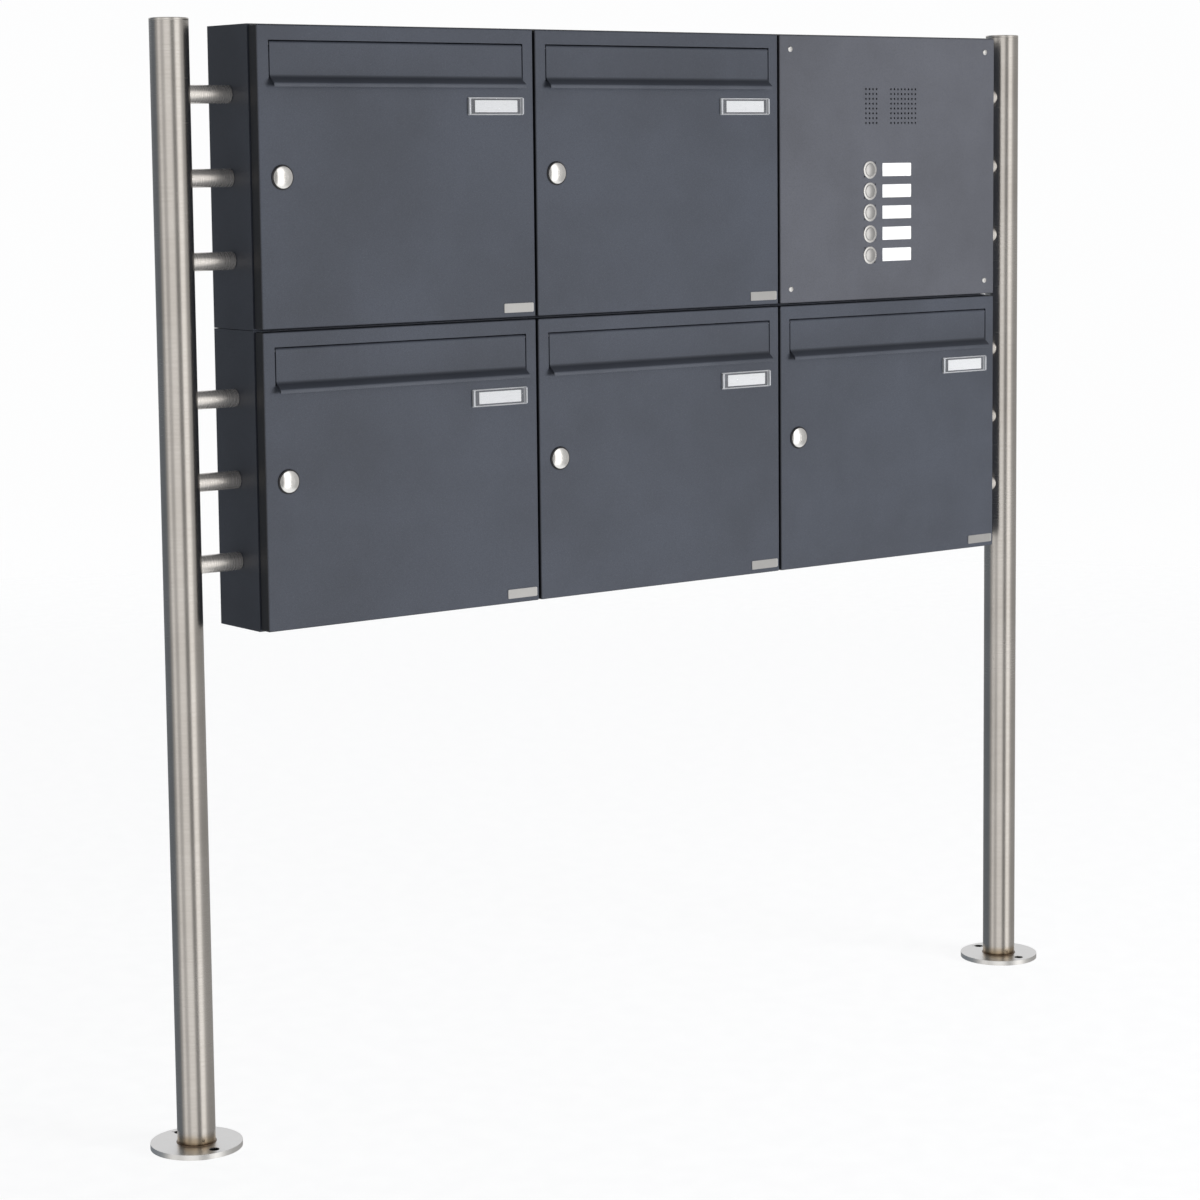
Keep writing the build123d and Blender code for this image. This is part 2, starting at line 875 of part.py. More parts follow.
# ================================================================ bolts between neighbouring casings
joint_length = 2 * sheet + casing_seam


def joining_bolt(plane):
    """Bolt through two walls with its head on one side and its nut on the other."""
    turned(
        plane,
        [
            (-joining_head_height, 0),
            (-joining_head_height, joining_head_radius),
            (0, joining_head_radius),
            (0, joining_bolt_radius),
            (joint_length, joining_bolt_radius),
            (joint_length, joining_head_radius),
            (joint_length + joining_head_height, joining_head_radius),
            (joint_length + joining_head_height, 0),
        ],
    )


with BuildPart() as joining_bolts:
    for module in modules:
        for shift in (-joining_offset, joining_offset):
            if (module.column + 1, module.row) in cells:
                start = module.point(
                    module_width - seam_half - sheet, module_height / 2 + shift, post_setback
                )
                joining_bolt(Plane(origin=start, x_dir=(1, 0, 0), z_dir=(0, 0, 1)))
            if (module.column, module.row + 1) in cells:
                start = module.point(
                    module_width / 2 + shift, module_height - seam_half - sheet, post_setback
                )
                joining_bolt(Plane(origin=start, x_dir=(0, 0, -1), z_dir=(0, 1, 0)))
save(joining_bolts, "joining_bolts")
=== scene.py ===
"""The looks of a letterbox unit: five letterboxes and a door-bell panel between two round posts."""

# %% [markdown]
# The imported CAD model is the frame that every visible piece is built around. Loading it first gives each
# piece its place: the boxes of the CAD nodes are in metres, with X to the right along the fronts, the fronts
# facing -Y, and Z up.

import json
import math
from collections import namedtuple

import bmesh
import bpy
from mathutils import Matrix, Vector


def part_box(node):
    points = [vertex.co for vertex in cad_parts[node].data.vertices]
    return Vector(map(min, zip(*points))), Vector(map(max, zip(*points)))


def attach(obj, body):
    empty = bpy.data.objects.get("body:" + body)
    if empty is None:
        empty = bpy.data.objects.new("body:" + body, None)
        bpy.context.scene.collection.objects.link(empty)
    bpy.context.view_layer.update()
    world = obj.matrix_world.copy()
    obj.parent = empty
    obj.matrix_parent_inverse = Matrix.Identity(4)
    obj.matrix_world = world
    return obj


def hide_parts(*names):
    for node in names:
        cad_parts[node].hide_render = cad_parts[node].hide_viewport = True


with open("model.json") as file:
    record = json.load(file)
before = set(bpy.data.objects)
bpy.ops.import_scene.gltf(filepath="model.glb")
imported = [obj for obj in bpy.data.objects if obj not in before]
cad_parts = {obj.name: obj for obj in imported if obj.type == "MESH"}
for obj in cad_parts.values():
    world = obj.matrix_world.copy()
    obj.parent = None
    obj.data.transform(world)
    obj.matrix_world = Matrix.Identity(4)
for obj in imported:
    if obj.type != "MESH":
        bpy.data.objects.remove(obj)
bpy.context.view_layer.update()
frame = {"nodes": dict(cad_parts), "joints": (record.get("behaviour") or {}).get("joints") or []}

# %% [markdown]
# Sheet metal is easiest to think of from its front: how far to the right, how far down, how far to the rear.
# Each front has a corner, its upper left one, and every piece of that module is modelled in millimetres from
# it. A small helper reads a CAD node's box in those terms, so no place is typed twice.

# %% Places seen from a front's corner
MM = 0.001
LETTERBOXES = (1, 2, 3, 4, 5)
Area = namedtuple("Area", "left right top bottom front rear")


def corner_of(node):
    """Upper left corner of a node's front, in the frame."""
    low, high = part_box(node)
    return Vector((low.x, low.y, high.z))


def area(node, corner):
    """A node's box in millimetres to the right of, below and behind a corner."""
    low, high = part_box(node)
    across = [(value - corner.x) / MM for value in (low.x, high.x)]
    down = [(corner.z - value) / MM for value in (high.z, low.z)]
    back = [(value - corner.y) / MM for value in (low.y, high.y)]
    return Area(*across, *down, *back)


def middle(box):
    return (box.left + box.right) / 2, (box.top + box.bottom) / 2


def front_place(corner):
    """Matrix from millimetres at a corner to metres in the frame."""
    return Matrix.Translation(corner) @ Matrix.Scale(MM, 4)


first = corner_of("door_1")
corners = {number: corner_of(f"door_{number}") for number in LETTERBOXES}
door = area("door_1", first)
print("door", [round(value, 2) for value in door])

# %% [markdown]
# Shader sums read best as sums. A socket is wrapped in a small class whose plus, minus and times add Math
# nodes, and one method adds every other node: its kind, the settings that are chosen first, and then what
# goes into its sockets.


# %% Wrap sockets and nodes
class Signal:
    """A number, colour or vector that comes out of a node."""

    def __init__(self, finish, node, socket):
        self.finish = finish
        self.node = node
        self.socket = socket

    def out(self, name):
        return Signal(self.finish, self.node, self.node.outputs[name])

    def math(self, operation, first_value, second_value):
        settings = {"operation": operation}
        return self.finish.node("Math", settings, {0: first_value, 1: second_value})

    def __add__(self, other):
        return self.math("ADD", self, other)

    def __radd__(self, other):
        return self.math("ADD", other, self)

    def __sub__(self, other):
        return self.math("SUBTRACT", self, other)

    def __rsub__(self, other):
        return self.math("SUBTRACT", other, self)

    def __mul__(self, other):
        return self.math("MULTIPLY", self, other)

    def __rmul__(self, other):
        return self.math("MULTIPLY", other, self)

    def between(self, low, high):
        """0 below low and 1 above high, rising smoothly between them."""
        settings = {"interpolation_type": "SMOOTHSTEP"}
        return self.finish.node("MapRange", settings, {"Value": self, "From Min": low, "From Max": high})


class Finish:
    """A node tree with one way to add nodes."""

    def __init__(self, name, tree=None):
        if tree is None:
            self.material = bpy.data.materials.new(name)
            self.material.use_nodes = True
            tree = self.material.node_tree
        self.tree = tree
        self.tree.nodes.clear()

    def node(self, kind, settings=None, inputs=None):
        made = self.tree.nodes.new("ShaderNode" + kind)
        for name, value in (settings or {}).items():
            if name == "stops":
                self.fill_ramp(made.color_ramp, value)
            else:
                setattr(made, name, value)
        for name, value in (inputs or {}).items():
            if isinstance(value, Signal):
                self.tree.links.new(value.socket, made.inputs[name])
            else:
                made.inputs[name].default_value = value
        return Signal(self, made, made.outputs[0] if made.outputs else None)

    @staticmethod
    def fill_ramp(ramp, stops):
        while len(ramp.elements) < len(stops):
            ramp.elements.new(1.0)
        for element, (position, colour) in zip(ramp.elements, stops):
            element.position = position
            element.color = (*colour, 1)

    def here(self):
        """Position in the frame at rest."""
        return self.node("TexCoord").out("Object")

    def stretched(self, where, scale):
        return self.node("Mapping", {"vector_type": "POINT"}, {"Vector": where, "Scale": scale})

    def noise(self, where, scale, detail=2.0, rough=0.5):
        inputs = {"Vector": where, "Scale": scale, "Detail": detail, "Roughness": rough}
        return self.node("TexNoise", None, inputs)

    def mix(self, share, first_colour, second_colour):
        made = self.node("Mix", {"data_type": "RGBA"}, {0: share, 6: first_colour, 7: second_colour})
        return Signal(self, made.node, made.node.outputs[2])

    def attribute(self, name):
        return self.node("Attribute", {"attribute_name": name}).out("Fac")

    def bump(self, height, distance, strength=1.0, under=None):
        inputs = {"Height": height, "Distance": distance, "Strength": strength}
        if under is not None:
            inputs["Normal"] = under
        return self.node("Bump", None, inputs)

    def shade(self, inputs):
        shader = self.node("BsdfPrincipled", None, inputs)
        self.node("OutputMaterial", None, {"Surface": shader})
        return self.material


# %% [markdown]
# The doors, flaps, casings and the bell panel are steel with a fine-structure powder coat in anthracite.
# Baked powder isn't flat paint: it has a grain of about a millimetre, a slow cloudiness from the spraying,
# and fine lighter specks. Hands polish it, so a handled attribute on the flaps' lips lowers the roughness
# and leaves a faint grey there. Inside the folds and in the flaps' bend a second attribute darkens the
# colour: that is painted shade. A flat colour with a bump map alone would look like plastic. The bell
# panel was coated on its own, from another batch, which came out a little lighter and more neutral.


# %% Anthracite powder coat
def powder_coat(name, colour, handled_colour):
    coat = Finish(name)
    here = coat.here()
    clouds = coat.noise(here, 5.5, 4.0, 0.6)
    grain = coat.noise(here, 850.0, 3.0, 0.6)
    peel = coat.noise(here, 260.0, 2.0, 0.5)
    flecks = coat.noise(here, 2300.0, 1.0, 0.5)
    handled = coat.attribute("handled")
    dark = tuple(value * 0.86 for value in colour)
    light = tuple(value * 1.16 for value in colour)
    body = coat.mix(clouds.between(0.3, 0.7), (*dark, 1), (*light, 1))
    speck = coat.mix(flecks.between(0.62, 0.72) * 0.30, body, (0.20, 0.21, 0.23, 1))
    pits = coat.mix(grain.between(0.55, 0.35) * 0.35, speck, (*[value * 0.55 for value in colour], 1))
    worn = coat.mix(handled * clouds.between(0.35, 0.6) * 0.55, pits, (*handled_colour, 1))
    # Painted shade: the trays' returns and the flaps' bend are darkened to 0.22 of the coat's colour.
    painted_shade_coat = coat.mix(coat.attribute("sheltered"), worn, (*[value * 0.22 for value in colour], 1))
    rough = 0.47 + (clouds - 0.5) * 0.10 + (grain - 0.5) * 0.16 - handled * 0.10
    skin = coat.bump(grain, 0.00012, 0.55, coat.bump(peel, 0.00010, 0.35))
    return coat.shade({"Base Color": painted_shade_coat, "Roughness": rough, "Normal": skin, "Specular IOR Level": 0.5})


COAT = (0.052, 0.0585, 0.0755)
BELL_COAT = (0.083, 0.0865, 0.102)
anthracite = powder_coat("anthracite_powder_coat", COAT, (0.080, 0.087, 0.104))
bell_coat = powder_coat("bell_panel_powder_coat", BELL_COAT, (0.12, 0.125, 0.135))
print(anthracite.name, len(anthracite.node_tree.nodes), "nodes")

# %% [markdown]
# The posts are ground stainless tube: the belt leaves fine lines round the tube, which spread a reflection
# along it. The lines are noise squeezed hard along the tube. The steel is warm rather than blue, slightly
# uneven where it was handled, and straw to brown close to the weld at the foot. The struts' deeper lines
# also scatter light in every direction, which a little less than full metal stands for. Their copy of the
# steel is also 1.32 times lighter than the posts': painted light that makes the rods look brighter.


# %% Ground stainless steel
def ground_steel(name, squeeze, tint=1.0, rough_middle=0.235, heat_top=0.0, metal=1.0):
    steel = Finish(name)
    here = steel.here()
    lines = steel.noise(steel.stretched(here, squeeze), 1.0, 2.0, 0.6)
    smudges = steel.noise(here, 9.0, 3.0, 0.6)
    dark = tuple(tint * value for value in (0.515, 0.490, 0.462))
    light = tuple(tint * value for value in (0.585, 0.562, 0.535))
    clean = steel.mix(smudges.between(0.3, 0.7), (*dark, 1), (*light, 1))
    groove = tuple(tint * value for value in (0.415, 0.392, 0.366))
    colour = steel.mix(lines.between(0.35, 0.65) * 0.30, clean, (*groove, 1))
    if heat_top:
        fine = steel.noise(here, 60.0, 2.0, 0.5)
        ragged = steel.node("SeparateXYZ", None, {0: here}).out("Z") + (fine - 0.5) * 0.006
        warm = steel.mix(ragged.between(heat_top, heat_top * 0.45), colour, (0.50, 0.40, 0.28, 1))
        colour = steel.mix(ragged.between(heat_top * 0.55, heat_top * 0.35), warm, (0.16, 0.11, 0.07, 1))
    rough = rough_middle + (lines - 0.5) * 0.16 + (smudges - 0.5) * 0.09
    brushed = steel.bump(lines, 0.00003, 0.6)
    return steel.shade({"Base Color": colour, "Metallic": metal, "Roughness": rough, "Normal": brushed})


ROUND_THE_TUBE = (30.0, 30.0, 2600.0)
ALONG_THE_STRUT = (2600.0, 40.0, 40.0)
ALONG_THE_PLATE = (1800.0, 45.0, 45.0)
post_steel = ground_steel("ground_stainless_tube", ROUND_THE_TUBE, heat_top=0.020)
# Painted light: the struts' steel is 1.32 times lighter than the posts'.
lit_strut_steel = ground_steel("ground_stainless_rod", ALONG_THE_STRUT, 1.32, 0.26, metal=0.72)
plate_steel = ground_steel("ground_stainless_plate", ALONG_THE_PLATE, 1.15, 0.30)
print("stainless finishes", post_steel.name, lit_strut_steel.name, plate_steel.name)

# %% [markdown]
# The bell pushes, the panel's screws and the foot plates were finished finely and stay bright. Their grain
# is noise of a few tenths of a millimetre with little contrast, because at their size strong lines would
# look like scratches.


# %% Fine satin steel
def satin_steel(name, colour, rough_middle):
    satin = Finish(name)
    here = satin.here()
    grain = satin.noise(satin.stretched(here, (2400.0, 500.0, 500.0)), 1.0, 3.0, 0.5)
    haze = satin.noise(here, 55.0, 3.0, 0.6)
    dark = tuple(0.95 * value for value in colour)
    clean = satin.mix(haze.between(0.3, 0.7), (*dark, 1), (*colour, 1))
    lined = satin.mix(grain.between(0.35, 0.65) * 0.12, clean, (*[0.8 * value for value in colour], 1))
    rough = rough_middle + (grain - 0.5) * 0.08 + (haze - 0.5) * 0.08
    return satin.shade({"Base Color": lined, "Metallic": 1.0, "Roughness": rough})


ring_steel = satin_steel("satin_steel_ring", (0.83, 0.828, 0.822), 0.27)
cap_steel = satin_steel("satin_steel_cap", (0.60, 0.60, 0.598), 0.33)
foot_steel = satin_steel("satin_steel_foot", (0.80, 0.795, 0.785), 0.34)
print("satin finishes", ring_steel.name, cap_steel.name, foot_steel.name)

# %% [markdown]
# The lock's dome is nickel plate with a satin polish, the pins, bolts, rods and cams are zinc plated, with
# the faint crystals and dull patches of that bath, and the lock's collar and barrel are black.


# %% Nickel, zinc and black
def nickel_plate():
    nickel = Finish("satin_nickel_plate")
    here = nickel.here()
    haze = nickel.noise(here, 140.0, 3.0, 0.6)
    hairs = nickel.noise(nickel.stretched(here, (3000.0, 200.0, 260.0)), 1.0, 2.0, 0.5)
    colour = nickel.mix(haze.between(0.3, 0.7), (0.93, 0.925, 0.91, 1), (0.97, 0.965, 0.955, 1))
    rough = 0.17 + (haze - 0.5) * 0.10 + (hairs - 0.5) * 0.08
    satin = nickel.bump(hairs, 0.00001, 0.5)
    return nickel.shade({"Base Color": colour, "Metallic": 1.0, "Roughness": rough, "Normal": satin})


def zinc_plate():
    zinc = Finish("zinc_plate")
    here = zinc.here()
    crystals = zinc.node("TexVoronoi", {"feature": "F1"}, {"Vector": here, "Scale": 420.0})
    patches = zinc.noise(here, 45.0, 4.0, 0.6)
    colour = zinc.mix(patches.between(0.35, 0.65), (0.50, 0.515, 0.54, 1), (0.66, 0.67, 0.69, 1))
    rough = 0.36 + (patches - 0.5) * 0.22 + crystals * 0.06
    dull = zinc.bump(crystals, 0.00005, 0.35)
    return zinc.shade({"Base Color": colour, "Metallic": 1.0, "Roughness": rough, "Normal": dull})


def black_coat(name, colour, rough_middle, grain_size, gloss=0.5):
    black = Finish(name)
    here = black.here()
    grain = black.noise(here, grain_size, 3.0, 0.6)
    clouds = black.noise(here, 30.0, 3.0, 0.5)
    tint = tuple(value * 1.7 for value in colour)
    mixed = black.mix(clouds.between(0.3, 0.7), (*colour, 1), (*tint, 1))
    rough = rough_middle + (grain - 0.5) * 0.2
    skin = black.bump(grain, 0.00006, 0.5)
    inputs = {"Base Color": mixed, "Roughness": rough, "Normal": skin, "Specular IOR Level": gloss}
    return black.shade(inputs)


nickel = nickel_plate()
zinc = zinc_plate()
black_metal = black_coat("black_lock_coat", (0.010, 0.010, 0.012), 0.32, 900.0)
black_plastic = black_coat("black_moulding", (0.008, 0.008, 0.009), 0.80, 1400.0, 0.12)
dark_backing = black_coat("dark_backing", (0.055, 0.058, 0.066), 0.50, 1100.0)
print("small finishes", nickel.name, zinc.name, black_metal.name, black_plastic.name)

# %% [markdown]
# The name plates are clear plastic over a white card. Real refraction would need many samples for a part a
# few millimetres thick, so the plastic is a thin glossy skin that lets most light pass: its Alpha says how
# much. The card has the faint fibre of paper, and the bell's windows are milky acrylic.


# %% Clear plastic, card and acrylic
def clear_plastic(name, cover, colour):
    clear = Finish(name)
    here = clear.here()
    scuffs = clear.noise(clear.stretched(here, (90.0, 90.0, 900.0)), 1.0, 3.0, 0.6)
    haze = clear.noise(here, 60.0, 2.0, 0.5)
    tone = clear.mix(haze.between(0.3, 0.7), (*colour, 1), (*[value * 0.9 for value in colour], 1))
    see = cover + scuffs.between(0.55, 0.75) * 0.10
    rough = 0.10 + scuffs.between(0.5, 0.8) * 0.12
    return clear.shade({"Base Color": tone, "Roughness": rough, "Alpha": see})


def paper_card():
    card = Finish("white_card")
    here = card.here()
    fibre = card.noise(card.stretched(here, (500.0, 500.0, 1500.0)), 1.0, 4.0, 0.7)
    tone = card.mix(fibre.between(0.3, 0.7), (0.68, 0.68, 0.69, 1), (0.76, 0.76, 0.76, 1))
    rough = 0.62 + (fibre - 0.5) * 0.16
    tooth = card.bump(fibre, 0.00002, 0.5)
    return card.shade({"Base Color": tone, "Roughness": rough, "Normal": tooth})


def milky_acrylic_painted_glow():
    milk = Finish("milky_acrylic_painted_glow")
    here = milk.here()
    cloud = milk.noise(here, 120.0, 3.0, 0.6)
    tone = milk.mix(cloud.between(0.3, 0.7), (0.80, 0.80, 0.797, 1), (0.86, 0.86, 0.86, 1))
    rough = 0.22 + (cloud - 0.5) * 0.12
    # Painted glow: the windows give off light in their own colour, though no lamp is behind them.
    inputs = {"Base Color": tone, "Roughness": rough, "Emission Color": tone, "Emission Strength": 0.22}
    return milk.shade(inputs)


cover_plastic = clear_plastic("clear_cover", 0.12, (0.45, 0.46, 0.48))
# Painted highlight: this pale, mostly opaque plastic makes the rim round each cover bright, as the edges of
# clear plastic catch light; the ends are frosted plastic.
frosted_and_edge_highlight_plastic = clear_plastic("frosted_end_and_painted_edge_highlight", 0.70, (0.70, 0.71, 0.73))
card = paper_card()
acrylic = milky_acrylic_painted_glow()
print("plate finishes", cover_plastic.name, frosted_and_edge_highlight_plastic.name, card.name, acrylic.name)

# %% [markdown]
# Every piece is finished the same way: its mesh is stamped from the bmesh, put in place inside the mesh, and
# rides on its CAD body. Sheet pieces get their wall from Solidify, and a narrow Bevel on the sharp edges
# catches the light as a real deburred edge does. Weighted Normal keeps the large faces flat beside it.

# %% Stamp meshes and finish pieces
SHARP = math.radians(40)


def stamp(bm, name):
    """Mesh of a bmesh, which is then let go."""
    mesh = bpy.data.meshes.new(name)
    bm.to_mesh(mesh)
    bm.free()
    return mesh


def piece(mesh, name, body, finish, place, wall=0.0, edge=0.25, nodes=()):
    """Object of its own mesh at a place, riding on a body. Wall and edge are in millimetres."""
    own = mesh.copy()
    own.name = name
    own.transform(place)
    own.materials.append(finish)
    own.shade_smooth()
    made = bpy.data.objects.new(name, own)
    bpy.context.scene.collection.objects.link(made)
    if wall:
        solid = made.modifiers.new("wall", "SOLIDIFY")
        solid.thickness = wall * MM
        solid.offset = -1
        solid.use_even_offset = True
    if edge:
        eased = made.modifiers.new("eased_edges", "BEVEL")
        eased.width = edge * MM
        eased.segments = 2
        eased.limit_method = "ANGLE"
        eased.angle_limit = SHARP
    else:
        own.set_sharp_from_angle(angle=SHARP)
    if edge or wall:
        made.modifiers.new("flat_faces", "WEIGHTED_NORMAL").keep_sharp = True
    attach(made, body)
    if nodes:
        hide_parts(*nodes)
    return made


# %% [markdown]
# Sheet metal starts as one flat face. Cutting it along lines gives the cells that openings are made from: a
# square opening is a cell taken away, and a round hole is a cell whose sides are divided and bridged to a
# circle. That keeps the sheet one clean surface, where a Boolean would leave slivers. Folds and walls come
# from drawing edges or faces out, as a press brake and a plate's thickness do, and a bevel rounds the bends.


# %% Cut, draw out and round sheets
def cut(bm, point, normal, faces=None):
    """Divides faces along a plane."""
    faces = list(bm.faces) if faces is None else list(faces)
    edges = {edge for face in faces for edge in face.edges}
    verts = {vert for face in faces for vert in face.verts}
    geom = faces + list(edges) + list(verts)
    bmesh.ops.bisect_plane(bm, geom=geom, plane_co=point, plane_no=normal, dist=1e-4)


def flat_sheet(left, right, top, bottom, across=(), down=()):
    """Upright sheet facing the front, divided at distances across and down."""
    bm = bmesh.new()
    bmesh.ops.create_grid(bm, x_segments=1, y_segments=1, size=0.5)
    size = Matrix.Diagonal((right - left, bottom - top, 1, 1))
    upright = Matrix.Rotation(math.radians(90), 4, "X")
    centre = Matrix.Translation(((left + right) / 2, 0, -(top + bottom) / 2))
    bmesh.ops.transform(bm, matrix=centre @ upright @ size, verts=bm.verts)
    for x in across:
        cut(bm, (x, 0, 0), (1, 0, 0))
    for drop in down:
        cut(bm, (0, 0, -drop), (0, 0, 1))
    return bm


def take_away(bm, left, right, top, bottom):
    """Opening between four cut lines."""
    inside = []
    for face in bm.faces:
        centre = face.calc_center_median()
        if left < centre.x < right and top < -centre.z < bottom:
            inside.append(face)
    bmesh.ops.delete(bm, geom=inside, context="FACES")


FRONT = Matrix.Rotation(math.radians(90), 4, "X")
TOP = Matrix.Identity(4)


def round_hole(bm, centre, radius, reach, facing=FRONT, segments=24):
    """Turns the square cell round a centre into a ring that ends in a circle."""
    centre = Vector(centre)
    cell = min(bm.faces, key=lambda face: (face.calc_center_median() - centre).length)
    sides = list(cell.edges)
    bmesh.ops.delete(bm, geom=[cell], context="FACES_ONLY")
    bmesh.ops.subdivide_edges(bm, edges=sides, cuts=segments // 4 - 1)
    rim = []
    for edge in bm.edges:
        apart = (edge.verts[0].co + edge.verts[1].co) / 2 - centre
        if edge.is_boundary and max(abs(value) for value in apart) < reach * 1.02:
            rim.append(edge)
    place = Matrix.Translation(centre) @ facing
    circle = bmesh.ops.create_circle(bm, segments=segments, radius=radius, matrix=place)
    ring = {edge for vert in circle["verts"] for edge in vert.link_edges}
    bmesh.ops.bridge_loops(bm, edges=rim + list(ring))


def draw_out(bm, edges, way):
    """Extrudes edges by a way, and returns the new vertices."""
    made = bmesh.ops.extrude_edge_only(bm, edges=list(edges))["geom"]
    verts = [item for item in made if isinstance(item, bmesh.types.BMVert)]
    bmesh.ops.translate(bm, vec=way, verts=verts)
    return verts


def thicken(bm, way):
    """Extrudes a flat piece by a way; its first faces stay as the other side."""
    made = bmesh.ops.extrude_face_region(bm, geom=list(bm.faces), use_keep_orig=True)["geom"]
    verts = [item for item in made if isinstance(item, bmesh.types.BMVert)]
    bmesh.ops.translate(bm, vec=way, verts=verts)


def face_front(bm):
    """Turns a sheet so that its largest face looks to the front."""
    widest = max(bm.faces, key=lambda face: face.calc_area())
    if widest.normal.y > 0:
        bmesh.ops.reverse_faces(bm, faces=bm.faces)


def round_edges(bm, edges, radius, segments):
    bmesh.ops.bevel(
        bm,
        geom=list(edges),
        offset=radius,
        offset_type="OFFSET",
        segments=segments,
        profile=0.5,
        affect="EDGES",
        material=-1,
    )


# %% [markdown]
# A door is a shallow folded tray: the front turns back 15 mm at all four sides, over a press brake that
# leaves a bend of about 2 mm. So the outer rim is extruded to the rear and the fold and its corners are
# bevelled. Solidify gives the sheet its 1.5 mm inwards, with the holes' walls.

# %% Fold a tray
SHEET = 1.5
FOLD = 1.8
NEAR = 1e-3
SHADE_START = 0.1
SHADE_DEPTH = 1.08


def on_side(spot, width):
    return min(abs(spot.x), abs(spot.x - width)) < NEAR


def on_end(spot, height):
    return min(abs(spot.z), abs(spot.z + height)) < NEAR


def fold_tray(bm, width, height, depth):
    """Turns the rim of a flat front to the rear and rounds the folds."""
    outer = []
    for edge in bm.edges:
        spots = [vert.co for vert in edge.verts]
        if edge.is_boundary and all(on_side(spot, width) or on_end(spot, height) for spot in spots):
            outer.append(edge)
    folds = set(outer)
    draw_out(bm, outer, (0, depth, 0))
    for edge in bm.edges:
        near_end, far_end = [vert.co for vert in edge.verts]
        in_corner = on_side(near_end, width) and on_end(near_end, height)
        if abs(far_end.y - near_end.y) > depth / 2 and in_corner:
            folds.add(edge)
    bmesh.ops.recalc_face_normals(bm, faces=bm.faces)
    round_edges(bm, folds, FOLD, 3)
    face_front(bm)


def mark(mesh, name, weight):
    """Point attribute that says how much of a wear or shade each place has."""
    layer = mesh.attributes.new(name, "FLOAT", "POINT")
    layer.data.foreach_set("value", [weight(vert.co) for vert in mesh.vertices])


# Painted shade on a tray's returns, rising to full over the first millimetre behind the front.
def shade_in_folds(spot):
    return min(1.0, max(0.0, (spot.y - SHADE_START) / SHADE_DEPTH))


# %% [markdown]
# The letterbox door has the wide opening for the posting flap near its top, the hole for the lock at the
# left, and at the right the notches and the small holes of its two hinge pins. Their places come from the
# boxes of the flap, the lock and the hinge joint of the frame.

# %% Door fronts
flap = area("flap_1", first)
lock = area("lock_housing_1", first)
lock_x, lock_drop = middle(lock)
hinge = next(joint for joint in frame["joints"] if joint["name"] == "door_1_swing")
hinge_x = (hinge["pos_m"][0] - first.x) / MM
hinge_depth = (hinge["pos_m"][1] - first.y) / MM
FLAP_SIDE_GAP = 1.5
FLAP_TOP_GAP = 1.0
FLAP_BOTTOM_GAP = 3.0
FLAP_FLAT = 38.0
LOCK_HOLE = 9.55
LOCK_CELL_MARGIN = 0.5
PIN_HOLE = 2.1
PIN_CELL_MARGIN = 0.7
NOTCH_TOP = 2.0
NOTCH_END = 6.5
NOTCH_BEHIND = FOLD + 0.4
mouth = Area(
    flap.left - FLAP_SIDE_GAP,
    flap.right + FLAP_SIDE_GAP,
    flap.top - FLAP_TOP_GAP,
    flap.top + FLAP_FLAT + FLAP_BOTTOM_GAP,
    0,
    SHEET,
)


def notch(bm, top, bottom):
    """Opens the right return between two heights, behind the fold."""

    def returns():
        return [face for face in bm.faces if face.normal.x > 0.99]

    for drop in (top, bottom):
        cut(bm, (0, 0, -drop), (0, 0, 1), returns())
    cut(bm, (0, NOTCH_BEHIND, 0), (0, 1, 0), returns())
    inside = []
    for face in returns():
        centre = face.calc_center_median()
        if centre.y > NOTCH_BEHIND and top < -centre.z < bottom:
            inside.append(face)
    bmesh.ops.delete(bm, geom=inside, context="FACES")


def pin_hole(bm, drop, upwards):
    """Round hole in the upper or lower return on the hinge's axis."""
    reach = PIN_HOLE + PIN_CELL_MARGIN

    def returns():
        return [face for face in bm.faces if face.normal.z * upwards > 0.99]

    for side in (-reach, reach):
        cut(bm, (hinge_x + side, 0, 0), (1, 0, 0), returns())
        cut(bm, (0, hinge_depth + side, 0), (0, 1, 0), returns())
    round_hole(bm, (hinge_x, hinge_depth, -drop), PIN_HOLE, reach, TOP, 16)


def door_front():
    lock_cell = lock.right - lock_x + LOCK_CELL_MARGIN
    across = (mouth.left, mouth.right, lock_x - lock_cell, lock_x + lock_cell)
    down = (mouth.top, mouth.bottom, lock_drop - lock_cell, lock_drop + lock_cell)
    bm = flat_sheet(0, door.right, 0, door.bottom, across, down)
    take_away(bm, mouth.left, mouth.right, mouth.top, mouth.bottom)
    round_hole(bm, (lock_x, 0, -lock_drop), LOCK_HOLE, lock_cell, FRONT, 32)
    fold_tray(bm, door.right, door.bottom, door.rear)
    pin_hole(bm, 0, 1)
    pin_hole(bm, door.bottom, -1)
    notch(bm, NOTCH_TOP, NOTCH_END)
    notch(bm, door.bottom - NOTCH_END, door.bottom - NOTCH_TOP)
    mesh = stamp(bm, "door_front")
    mark(mesh, "sheltered", shade_in_folds)
    return mesh


door_mesh = door_front()
for number in LETTERBOXES:
    place = front_place(corners[number])
    body = f"door_{number}"
    piece(door_mesh, f"door_shell_{number}", body, anthracite, place, SHEET, 0.2, [body])
print("door shell", len(door_mesh.polygons), "faces, opening", round(mouth.right - mouth.left, 1), "mm wide")

# %% [markdown]
# Behind the opening a plate is spot-welded to the door. Its own, narrower opening is the mail slot, its
# border stops the flap, and two small ears hold the flap's rod. It is seen when a flap is lifted.

# %% Slot plates
STOP_WIDTH = 5.0
STOP_LAP = 1.5
PLATE_SIDE = 4.0
PLATE_FOOT = 8.0
KNUCKLE = 2.78
PLATE_TOP = SHEET + 0.1
EAR = 3.0
EAR_HALF = 4.0
EAR_ROUND = 2.2


